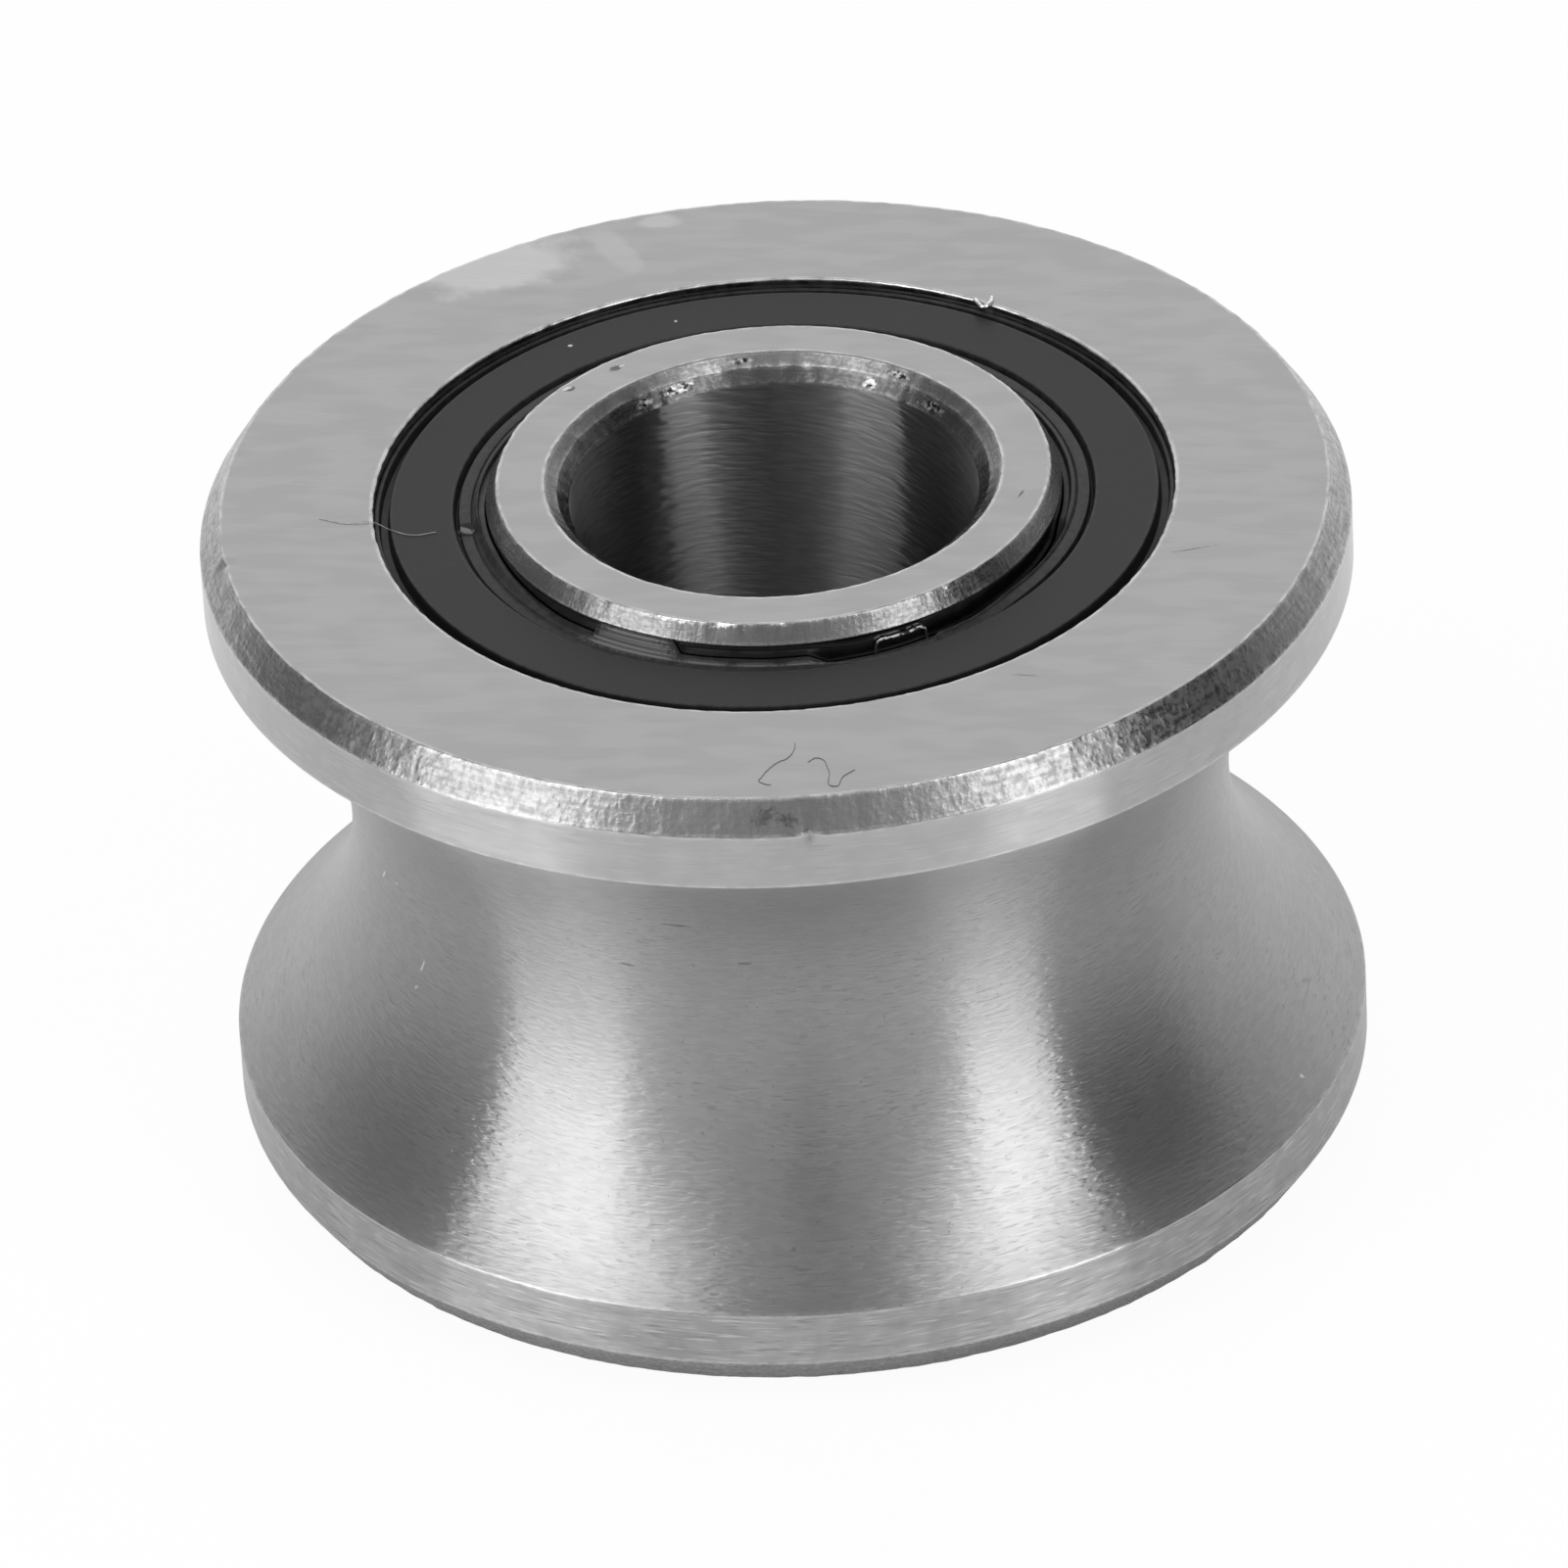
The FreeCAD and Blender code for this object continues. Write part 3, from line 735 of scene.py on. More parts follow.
# %% Moulded rubber
def moulded_rubber(name, rubbed_and_sheen, strip_end_highlight, specks):
    """Black rubber, with paler rubbed lines that are partly a painted sheen, a painted highlight on the
    strip's end, and specks of dust.
    """
    material, tree, shader = new_finish(name, Roughness=0.42, Specular_IOR_Level=0.31)
    mould = use(tree, grain, Size=0.05, Low=0.3, High=0.7, Seed=61.0)
    smear = use(tree, grain, Size=1.3, Low=0.3, High=0.7, Seed=63.0)
    lines = use(tree, streaks, Length=9.0, Width=0.045, Detail=0.0, Seed=67.0)
    lint = use(tree, dust, Spacing=0.9, Size=0.05, Share=0.015)
    worn_and_highlit = use(tree, edge_wear_and_highlight, Size=0.2, Amount=0.35)
    colour = blend(tree, smear, grey(0.009), grey(0.014))
    # Edges take a paler grey: a little wear and a painted highlight along the rubber's edges.
    colour = blend(tree, worn_and_highlit, colour, grey(0.05))
    if rubbed_and_sheen:
        stripes = spread(tree, lines, 0.40, 0.62, 0.3, 1.0)
        rubbed_and_sheen_stripes = maths(tree, "MULTIPLY", marks_on(tree, rubbed_and_sheen, 0.7), stripes)
        # Rubbed stripes, partly a painted sheen.
        colour = blend(tree, rubbed_and_sheen_stripes, colour, grey(0.15))
        # A painted highlight on the top edge of the strip's end.
        colour = blend(tree, marks_on(tree, strip_end_highlight), colour, grey(0.20))
        colour = blend(tree, marks_on(tree, specks), colour, grey(0.55))
    colour = blend(tree, lint, colour, grey(0.45))
    roughness = spread(tree, weigh(tree, (mould, 0.4), (smear, 0.6)), 0.0, 1.0, 0.36, 0.46)
    feed(tree, shader, colour, roughness, weigh(tree, (mould, 1.0), (lint, 2.0)), 0.0012)
    return material


# %% Nylon and balls
def moulded_nylon(name):
    material, tree, shader = new_finish(name, Roughness=0.5)
    mould = use(tree, grain, Size=0.2, Low=0.3, High=0.7, Seed=71.0)
    colour = blend(tree, mould, (0.78, 0.76, 0.68, 1.0), (0.84, 0.82, 0.75, 1.0))
    feed(tree, shader, colour, spread(tree, mould, 0.0, 1.0, 0.42, 0.55), mould, 0.002)
    return material


def lapped_ball(name):
    material, tree, shader = new_finish(name, Metallic=1.0, Roughness=0.08)
    lapping = use(tree, grain, Size=0.1, Low=0.3, High=0.7, Seed=73.0)
    colour = blend(tree, lapping, grey(0.72), grey(0.76))
    feed(tree, shader, colour, spread(tree, lapping, 0.0, 1.0, 0.06, 0.10))
    return material


# %% [markdown]
# ## The grooved wheel
#
# The outer ring's outline is the CAD's, with its corners softened by a few hundredths of a millimetre.
# A Bevel modifier on the CAD mesh could soften them too, but it would follow that mesh's own uneven
# triangles, and its edges would stay perfect. The upper half is listed from the groove's edge over the
# land, the chamfer and the end face, into the seal's seat and down the raceway; the lower half is its
# mirror image.

# %% The wheel's sizes
CHAMFER_ACROSS = 0.41
CHAMFER_DOWN = 0.62
GROOVE_RADIUS = 6.1
THROAT = 8.67
SEAT = 7.821
SEAT_MOUTH = 0.40
SEAT_UNDERCUT = 0.18
SEAT_FLOOR = 0.95
SHOULDER_OUT = 7.281
RACE_RADIUS = 1.25
RACE_DEPTH = 0.37

groove_centre = THROAT + GROOVE_RADIUS
groove_half = math.sqrt(GROOVE_RADIUS ** 2 - (groove_centre - RIM) ** 2)
race_half = math.sqrt(RACE_RADIUS ** 2 - (RACE_RADIUS - RACE_DEPTH) ** 2)
undercut = SEAT + SEAT_UNDERCUT
seat_top = OUTER_HALF - SEAT_MOUTH
seat_low = OUTER_HALF - SEAT_FLOOR
race_out = (SHOULDER_OUT + RACE_DEPTH - RACE_RADIUS, ROW)
print(f"groove half width {groove_half:.3f}, land {OUTER_HALF - CHAMFER_DOWN - groove_half:.3f} wide")

# %% The wheel's outline
wheel_corners = both_ends([
    Corner(RIM, groove_half, 0.03, "upper_land"),
    Corner(RIM, OUTER_HALF - CHAMFER_DOWN, 0.03, "chamfer"),
    Corner(RIM - CHAMFER_ACROSS, OUTER_HALF, 0.03, "face"),
    Corner(SEAT, OUTER_HALF, 0.05, "seat"),
    Corner(SEAT, seat_top, 0.02, "seat"),
    Corner(undercut, seat_top, 0.02, "seat"),
    Corner(undercut, seat_low, 0.02, "seat"),
    Corner(SHOULDER_OUT, seat_low, 0.03, "seat"),
    Corner(SHOULDER_OUT, ROW + race_half, 0.02, "race", race_out),
    Corner(SHOULDER_OUT, ROW - race_half, 0.02, "seat"),
], "groove", (groove_centre, 0.0))
lower_finishes = {"upper_land": "lower_land", "chamfer": "shaded_lower_chamfer"}


def own_finish(corner):
    """The lower land and the lower chamfer have finishes of their own. The lower chamfer's darker tone is
    painted shade, for the shadowed floor it faces.
    """
    if corner.height > 0:
        return corner
    return corner._replace(finish=lower_finishes.get(corner.finish, corner.finish))


wheel_corners = [own_finish(corner) for corner in wheel_corners]
print(f"{len(wheel_corners)} corners round the wheel's section")

# %% [markdown]
# The cut lines of the real wheel waver, because a chamfer is cut in one quick pass. A burr stands on the
# edge of the seal's seat, and the upper chamfer has a nick and a dent. All are pushes of a tenth of a
# millimetre at most, given to the lathe helper as one function.

# %% The wheel's faults
BURR_ANGLE = 55.0
NICK_ANGLE = -171.5
DENT_ANGLE = -88.5


def wheel_faults(spot, angle):
    """Wavy cut lines at the chamfers, a burr on the seat's edge, a nick and a dent in the upper chamfer."""
    radius_push = 0.0
    height_push = 0.0
    for side in (1, -1):
        top = near(spot, RIM - CHAMFER_ACROSS, side * OUTER_HALF, 0.14)
        low = near(spot, RIM, side * (OUTER_HALF - CHAMFER_DOWN), 0.12)
        mouth = near(spot, SEAT, side * OUTER_HALF, 0.07)
        fine = 0.6 * ripple(angle, 30, side) + 0.4 * ripple(angle, 75, side + 5)
        radius_push += 0.035 * top * fine
        height_push += 0.020 * low * ripple(angle, 26, side + 9)
        radius_push += 0.022 * mouth * ripple(angle, 42, side + 13)
    burr = near(spot, SEAT, OUTER_HALF, 0.11) * bump_at(angle, BURR_ANGLE, 1.3)
    radius_push -= 0.06 * burr
    height_push += 0.03 * burr
    nick = near(spot, RIM - CHAMFER_ACROSS, OUTER_HALF, 0.12) * bump_at(angle, NICK_ANGLE, 0.5)
    radius_push -= 0.07 * nick
    height_push -= 0.05 * nick
    dent = near(spot, RIM, OUTER_HALF - CHAMFER_DOWN, 0.14) * bump_at(angle, DENT_ANGLE, 0.7)
    radius_push -= 0.10 * dent
    return radius_push, height_push


rim_spot = Spot(RIM, OUTER_HALF - CHAMFER_DOWN, 1.0, "chamfer")
print(f"the dent is {-wheel_faults(rim_spot, math.radians(DENT_ANGLE))[0]:.3f} mm deep")

# %% [markdown]
# The single marks on the wheel have places of their own, in millimetres. Each is a centre, half a length,
# half a width and a slope, and says whether it lies on a wall or on a flat face.

# %% Marks on the wheel
chamfer_smudges = (
    ((-0.55, -11.09, 13.60), 0.34, 0.20, 0.5, True), ((-0.10, -11.10, 13.55), 0.36, 0.16, -0.3, True),
    ((0.26, -11.10, 13.31), 0.12, 0.10, 0.0, True),
)
# A chipped patch on the chamfer whose pale flecks are painted glints.
chamfer_chips_and_glints = (((0.29, -11.22, 13.27), 0.10, 0.09, 0.0, True),)
# Pale scuffs on the groove; the last one is a painted glint, a bright dot at the lower edge.
groove_scuffs_and_glint = (
    ((-8.03, -3.33, 7.63), 0.22, 0.05, 0.9, True), ((-7.77, -3.93, 7.81), 0.10, 0.04, 0.3, True),
    ((-7.35, -4.69, 6.37), 0.25, 0.05, 1.2, True), ((-7.52, -4.61, 5.79), 0.12, 0.05, 0.6, True),
    ((9.73, -4.67, 2.53), 0.07, 0.06, 0.0, True),
)
groove_dashes = (
    ((-2.34, -9.03, 9.91), 0.35, 0.05, 0.0, True), ((-1.07, -8.83, 8.80), 0.18, 0.04, 0.0, True),
    ((-3.33, -8.16, 8.48), 0.20, 0.04, 0.0, True),
)
# A painted highlight: a bright spot on the burr at the seat's edge.
burr_glints = (((4.45, 6.35, 13.95), 0.22, 0.20, 0.0, False),)
face_nicks = (((8.0, -3.0, 13.9), 0.5, 0.015, 0.2, False), ((4.6, -7.1, 13.9), 0.3, 0.015, -0.2, False))
wheel_marks = (chamfer_smudges, chamfer_chips_and_glints, groove_scuffs_and_glint, groove_dashes, burr_glints, face_nicks)
print(f"{sum(len(places) for places in wheel_marks)} single marks on the wheel")

# %% Turn the wheel
WHEEL_STEP = 0.3
wheel = turned("grooved_wheel", outline(wheel_corners, WHEEL_STEP), {
    "groove": ground_groove("ground_groove", groove_scuffs_and_glint, groove_dashes),
    "upper_land": ground_land("ground_land", STEEL * 1.10, 0.2),
    "lower_land": ground_land("scuffed_land", STEEL * 1.08, 1.0),
    "chamfer": turned_chamfer("turned_chamfer", STEEL * 0.75, 0.12, 0.0029, 0.8, chamfer_smudges,
                              chips_and_glints=chamfer_chips_and_glints),
    # Painted shade: the lower chamfer is the upper one's finish in a darker tone.
    "shaded_lower_chamfer": turned_chamfer("shaded_lower_chamfer", STEEL * 0.66, 0.12, 0.0030),
    "face": ground_face("ground_face", True, face_nicks),
    # The seat takes the burr's painted highlight, and its edges a much brighter tone, a painted highlight
    # along the seat's edge.
    "seat": turned_chamfer("turned_seat", STEEL * 0.8, 0.35, 0.0004, 0.0, burr_glints, 2.4, rim=2.5),
    "race": polished_race("polished_race", STEEL * 1.1),
}, MIDDLE, wheel_faults)
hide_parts("outer_ring")
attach(wheel, "wheel")

# %% [markdown]
# ## The inner ring
#
# The inner ring stands proud of the wheel at both ends. Its bore opens through a lead-in of two
# steps, left rough from turning, and its outer edge has a chamfer that glitters at the front. It is
# turned with the same helper as the wheel, so that its edges catch the light in the same way.

# %% The inner ring's outline
BORE = 4.0
THROAT_STEP = 4.22
MOUTH = 4.46
LEAD_IN_DOWN = 0.20
THROAT_DOWN = 0.26
EDGE_ACROSS = 0.21
EDGE_DOWN = 0.37

race_in = (SHOULDER_IN - RACE_DEPTH + RACE_RADIUS, ROW)
hub_corners = both_ends([
    Corner(SHOULDER_IN, ROW - race_half, 0.02, "race", race_in),
    Corner(SHOULDER_IN, ROW + race_half, 0.02, "shoulder"),
    Corner(SHOULDER_IN, INNER_HALF - EDGE_DOWN, 0.03, "chamfer"),
    Corner(SHOULDER_IN - EDGE_ACROSS, INNER_HALF, 0.03, "face"),
    Corner(MOUTH, INNER_HALF, 0.03, "lead_in"),
    Corner(THROAT_STEP, INNER_HALF - LEAD_IN_DOWN, 0.03, "throat"),
    Corner(BORE, INNER_HALF - LEAD_IN_DOWN - THROAT_DOWN, 0.03, "bore"),
], "shoulder")
print(f"{len(hub_corners)} corners round the inner ring's section")


# %% The inner ring's faults
def hub_faults(spot, angle):
    """Uneven cut lines round the lead-in and the outer chamfer."""
    radius_push = 0.0
    height_push = 0.0
    for side in (1, -1):
        mouth = near(spot, MOUTH, side * INNER_HALF, 0.10)
        step = near(spot, THROAT_STEP, side * (INNER_HALF - LEAD_IN_DOWN), 0.09)
        end = near(spot, BORE, side * (INNER_HALF - LEAD_IN_DOWN - THROAT_DOWN), 0.10)
        edge = near(spot, SHOULDER_IN - EDGE_ACROSS, side * INNER_HALF, 0.10)
        radius_push += 0.018 * mouth * ripple(angle, 18, side)
        height_push += step * (0.035 * ripple(angle, 12, side + 4) + 0.010 * ripple(angle, 40, side + 6))
        height_push += 0.025 * end * ripple(angle, 20, side + 8)
        ragged = 0.020 + 0.03 * bump_at(angle, -97, 14)
        radius_push += ragged * edge * ripple(angle, 28, side + 12)
    return radius_push, height_push


mouth_spot = Spot(MOUTH, INNER_HALF, 1.0, "lead_in")
print(f"the lead-in's edge is {hub_faults(mouth_spot, math.radians(10))[0]:.4f} mm out at 10 degrees")

# %% Marks on the inner ring
hub_nicks = (
    ((-2.98, 4.14, 14.3), 0.17, 0.10, 0.6, False), ((-3.88, 3.47, 14.3), 0.15, 0.09, 0.6, False),
    ((4.78, -1.30, 14.3), 0.16, 0.025, 1.1, False),
)
# Painted highlights at the rims of two nicks on the inner ring's face.
hub_glints = (((-2.86, 4.22, 14.3), 0.07, 0.03, 0.6, False), ((-3.94, 3.50, 14.3), 0.13, 0.06, 0.6, False))
# Painted highlights: a bright line along the inner chamfer's top edge at the front, and a bright spot on the
# chamfer.
edge_glints = (
    ((-2.00, -5.02, 14.24), 0.60, 0.07, -0.38, False), ((-1.05, -5.31, 14.27), 0.60, 0.07, -0.18, False),
    ((-0.05, -5.41, 14.27), 0.30, 0.05, 0.0, False), ((3.14, -4.43, 14.22), 0.10, 0.10, 0.6, False),
)
# Chipped patches in the throat whose pale flecks are painted glints.
throat_chips_and_glints = (
    ((-2.47, 3.30, 13.97), 0.28, 0.16, 0.0, True), ((-1.75, 3.72, 14.0), 0.50, 0.10, 0.0, True),
    ((2.0, 3.55, 13.97), 0.20, 0.14, 0.0, True), ((3.2, 2.55, 13.97), 0.45, 0.12, 0.0, True),
)
# Chipped patches on the lead-in whose pale flecks are painted glints.
lead_in_chips_and_glints = (((2.55, 3.45, 14.2), 0.40, 0.06, 0.0, True), ((-0.5, 4.32, 14.2), 0.35, 0.05, 0.0, True))

hub_marks = (hub_nicks, hub_glints, edge_glints, throat_chips_and_glints, lead_in_chips_and_glints)
print(f"{sum(len(places) for places in hub_marks)} single marks on the inner ring")

# %% Turn the inner ring
HUB_STEP = 0.25
hub = turned("inner_ring_turned", outline(hub_corners, HUB_STEP), {
    "race": polished_race("polished_inner_race", STEEL * 1.1),
    # Painted shade: the shoulder takes a darker tone than the raceway, for the shadow in the gap beside the
    # seal's lip.
    "shoulder": polished_race("shaded_polished_shoulder", STEEL * 0.65),
    # The inner chamfer's edge_glints are painted highlights, at 3.6 times its tone.
    "chamfer": turned_chamfer("inner_chamfer", STEEL * 0.57, 0.08, 0.0024, 0.5, edge_glints, 3.6),
    "face": ground_face("inner_face", False, hub_nicks, hub_glints),
    "lead_in": turned_chamfer("turned_lead_in", STEEL * 0.50, 0.08, 0.0010, 0.0, chips_and_glints=lead_in_chips_and_glints),
    "throat": turned_chamfer("turned_throat", STEEL * 0.26, 0.10, 0.0025, 0.0, chips_and_glints=throat_chips_and_glints),
    "bore": honed_bore("honed_bore"),
}, MIDDLE, hub_faults)
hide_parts("inner_ring")
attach(hub, "hub")

# %% [markdown]
# ## The seals
#
# Each seal is one rubber moulding: a snap rim in the seat, a channel, a flat face, then a ledge that
# ends in a thin lip beside the inner ring. On the ledge runs a raised strip that stops at the front,
# and the lip itself is soft and uneven: on one stretch it has ridden up against the inner ring. Sculpting
# could give such a lip, but pushes that depend on the angle keep it exact and easy to change.

# %% The seal's outline
SNAP_LOW = 0.84
SNAP_TOP = 0.46
CREST_OUT = 7.811
CREST_IN = 7.721
CHANNEL_OUT = 7.701
CHANNEL_IN = 7.541
FLAT_DEPTH = 0.12
CHANNEL_DEPTH = 0.42
CREST_DEPTH = 0.20
LEDGE_DEPTH = 0.25
UNDER_DEPTH = 0.93
LIP_DEPTH = 1.05
FLAT_IN = 6.27
FLAT_OUT = 7.501
LEDGE_OUT = 6.23
LIP_TOP = 5.645
LIP = 5.66
LIP_BEND = 0.85
UNDER_IN = 5.97
LEDGE_STEPS = (
    (6.21, 0.31, 0.31), (6.185, 0.31, 0.31), (6.15, 0.25, 0.17), (5.93, 0.25, 0.16), (5.90, 0.29, 0.20),
    (5.87, 0.25, 0.14), (5.80, 0.25, 0.13), (5.75, 0.25, 0.25),
)

seal_corners = [
    Corner(SNAP, -SNAP_LOW, 0.03, "rubber"),
    Corner(SNAP, -SNAP_TOP, 0.03, "rubber"),
    Corner(CREST_OUT, -CHANNEL_DEPTH, 0.01, "rubber"),
    Corner(CREST_OUT, -CREST_DEPTH, 0.025, "rubber"),
    Corner(CREST_IN, -CREST_DEPTH, 0.025, "rubber"),
    Corner(CHANNEL_OUT, -CHANNEL_DEPTH, 0.02, "rubber"),
    Corner(CHANNEL_IN, -CHANNEL_DEPTH, 0.02, "rubber"),
    Corner(FLAT_OUT, -FLAT_DEPTH, 0.03, "rubber"),
    Corner(FLAT_IN, -FLAT_DEPTH, 0.03, "rubber"),
    Corner(LEDGE_OUT, -LEDGE_DEPTH, 0.01, "rubber"),
    *[Corner(radius, -plain, 0.012, "rubber") for radius, plain, raised in LEDGE_STEPS],
    Corner(LIP_TOP, -LEDGE_DEPTH, 0.012, "rubber"),
    Corner(LIP, -LIP_BEND, 0.03, "rubber"),
    Corner(LIP, -LIP_DEPTH, 0.03, "rubber"),
    Corner(UNDER_IN, -LIP_DEPTH, 0.04, "rubber"),
    Corner(FLAT_IN, -UNDER_DEPTH, 0.04, "rubber"),
    Corner(SEAT, -UNDER_DEPTH, 0.03, "rubber"),
]
print(f"{len(seal_corners)} corners round the seal's section")

# %% [markdown]
# The ledge's steps were listed twice, plain and raised. The strip is the difference between them, shown
# only from one angle to another, with a pit at its end. The lip rises and sinks by stretches.

# %% The strip and the lip
STRIP_ENDS = (-60.0, 184.0)


def clamped(share):
    """A share kept between 0 and 1."""
    return min(1.0, max(0.0, share))


def between(angle, first, last, ramp):
    """1 from one angle to another, in degrees, with a ramp at each end."""
    middle = (first + last) / 2
    away = abs((math.degrees(angle) - middle + 180) % 360 - 180)
    return clamped(((last - first) / 2 - away) / ramp + 0.5)


def strip_rise(radius):
    """How far the raised strip stands above the plain ledge at a radius."""
    for outer_step, inner_step in zip(LEDGE_STEPS, LEDGE_STEPS[1:]):
        outer, outer_plain, outer_raised = outer_step
        inner, inner_plain, inner_raised = inner_step
        if inner <= radius <= outer:
            share = (outer - radius) / (outer - inner)
            return (outer_plain - outer_raised) * (1 - share) + (inner_plain - inner_raised) * share
    return 0.0


def lip_rise(angle):
    """How far the lip stands above its moulded height: ridden up on some stretches, sunk on another."""
    return (0.18 * between(angle, -190, -152, 24.0) + 0.30 * between(angle, -128.5, -111, 1.0)
            - 0.20 * between(angle, -83, -15, 4.0) + 0.012 * ripple(angle, 9, 2.0))


lip_at_front = lip_rise(math.radians(-120))
print(f"strip {strip_rise(6.0):.3f} mm high, lip {lip_at_front:.3f} mm above its place at -120 degrees")

# %% The seal's faults
TOP_SIDE = -0.5
PIT_BAND = (5.92, 6.18)
SUNK_BAND = (5.74, 6.22)
LIP_ROOT = 5.86
LIP_BLEND = 0.12
LIP_BLEND_DOWN = 0.5


def seal_faults(spot, angle):
    """The raised strip with a pit at its end, the sunk stretch of the ledge, and the lip out of place."""
    height_push = 0.0
    if spot.height > TOP_SIDE:
        height_push += strip_rise(spot.radius) * between(angle, *STRIP_ENDS, 0.3)
        if PIT_BAND[0] < spot.radius < PIT_BAND[1]:
            height_push -= 0.12 * bump_at(angle, STRIP_ENDS[1] + 0.9, 0.7)
        if SUNK_BAND[0] < spot.radius < SUNK_BAND[1]:
            height_push -= 0.11 * between(angle, -81, -46, 10.0)
    inward = clamped((LIP_ROOT - spot.radius) / LIP_BLEND)
    upward = clamped((spot.height + LIP_BEND) / LIP_BLEND_DOWN)
    height_push += inward * upward * lip_rise(angle)
    return 0.0, height_push


lip_spot = Spot(LIP_TOP, -LEDGE_DEPTH, 1.0, "rubber")
print(f"the lip sinks by {-seal_faults(lip_spot, math.radians(-50))[1]:.3f} mm at the front")

# %% Turn both seals
SEAL_STEP = 0.16
# Paler rubbed stripes on the lip, partly rubbing and partly a painted sheen where the lip catches light.
RUBBED_AND_SHEEN = (
    ((-1.50, -5.64, 13.66), 0.60, 0.10, -0.26, False), ((-0.55, -5.81, 13.66), 0.60, 0.09, -0.09, False),
    ((0.35, -5.83, 13.66), 0.50, 0.09, 0.06, False), ((-2.9, -5.04, 13.72), 1.3, 0.22, -0.52, False),
)
# A painted highlight: the lit top edge of the raised strip's end.
STRIP_END_HIGHLIGHT = (((-6.03, -0.44, 13.74), 0.19, 0.03, -0.1, False),)
SPECKS = (((-3.87, 5.93, 13.78), 0.06, 0.05, 0.0, False), ((-1.75, 6.63, 13.78), 0.04, 0.04, 0.0, False))


def seal(name, node, height, upside):
    """One seal, its face at a height. The lower seal is the upper one turned over, by a mirrored outline."""
    corners = seal_corners
    if upside < 0:
        corners = [corner._replace(height=-corner.height) for corner in reversed(seal_corners)]

    def faults(spot, angle):
        radius_push, height_push = seal_faults(spot._replace(height=upside * spot.height), upside * angle)
        return radius_push, upside * height_push

    rubber = moulded_rubber(f"{name}_rubber", RUBBED_AND_SHEEN if upside > 0 else (), STRIP_END_HIGHLIGHT, SPECKS)
    piece = turned(name, outline(corners, SEAL_STEP), {"rubber": rubber}, height, faults)
    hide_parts(node)
    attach(piece, "wheel")


seal("upper_seal_moulded", "upper_seal", MIDDLE + OUTER_HALF, 1)
seal("lower_seal_moulded", "lower_seal", MIDDLE - OUTER_HALF, -1)

# %% [markdown]
# ## What is shut inside
#
# The cages and the balls are the CAD's own meshes. Their shapes are right and nobody sees them closely,
# so they only need true finishes, put into the slots that they came with.

# %% Cages and balls
inside_finishes = {"cage": moulded_nylon("cage_nylon"), "ball": lapped_ball("ball_steel")}
finished = 0
for name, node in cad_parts.items():
    for word, finish in inside_finishes.items():
        if word in name:
            finished += 1
            for material_slot in node.material_slots:
                material_slot.material = finish
print(f"{finished} pieces inside have their finishes")

# %% [markdown]
# ## Lint, a sliver and a curl
#
# A few textile fibres lie on the face and over the seal's edge, a sliver of the lip stands beside the
# inner ring, and a bright curl of steel hangs at the seat's burr. Each is a thin tube along a smooth path:
# a curve gives the path, and its mesh is kept so that the piece is solid. Hair curves would be lighter,
# but a mesh is a piece of its own outside Blender too.

# %% Finishes for fibres
face_height = MIDDLE + OUTER_HALF
# The sliver's top is pale between these heights: a painted highlight.
SLIVER_DARK = face_height - 0.21
SLIVER_PALE = face_height - 0.16


def lint_finish(name, tone):
    """A dull fibre with paler and darker patches."""
    material, tree, shader = new_finish(name, Roughness=0.8)
    patchy = use(tree, grain, Size=0.12, Low=0.35, High=0.65, Seed=81.0)
    feed(tree, shader, blend(tree, patchy, grey(tone * 0.5), grey(tone * 1.4)))
    return material


def sliver_with_painted_highlight(name):
    """A sliver of the seal's lip: black rubber with a painted highlight along its top, pale and broken."""
    material, tree, shader = new_finish(name, Roughness=0.8)
    x, y, z = parts_of(tree, place_mm(tree))
    patchy = use(tree, grain, Size=0.09, Low=0.42, High=0.54, Detail=1.0, Seed=83.0)
    top = spread(tree, z, SLIVER_DARK, SLIVER_PALE)
    # Painted highlight: the top of the sliver is pale, broken by patches.
    painted_highlight_top = maths(tree, "MULTIPLY", patchy, top)
    feed(tree, shader, blend(tree, painted_highlight_top, grey(0.012), grey(0.65)))
    return material


dark_lint = lint_finish("dark_lint", 0.16)
pale_lint = lint_finish("pale_lint", 0.40)
sliver = sliver_with_painted_highlight("sliver_with_painted_highlight")
curl_steel = turned_chamfer("bright_curl", STEEL * 1.9, 0.1, 0.0005, 0.0)


# %% Draw the fibres
def fibre(name, points, finish, thickness):
    """A thin tube along a smooth path through a few points. It rides on the wheel."""
    path = bpy.data.curves.new(name, "CURVE")
    path.dimensions = "3D"
    path.bevel_depth = thickness * MM
    path.bevel_resolution = 2
    path.use_fill_caps = True
    spline = path.splines.new("BEZIER")
    spline.bezier_points.add(len(points) - 1)
    for bend, (x, y, z) in zip(spline.bezier_points, points):
        bend.co = (x * MM, y * MM, (z + thickness) * MM)
        bend.handle_left_type = "AUTO"
        bend.handle_right_type = "AUTO"
    spline.resolution_u = 8
    drawn = bpy.data.objects.new(name, path)
    mesh = bpy.data.meshes.new_from_object(drawn)
    bpy.data.objects.remove(drawn)
    mesh.materials.append(finish)
    mesh.shade_smooth()
    piece = bpy.data.objects.new(name, mesh)
    bpy.context.scene.collection.objects.link(piece)
    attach(piece, "wheel")
    print(f"{name}: {len(points)} points, {len(mesh.polygons)} faces")


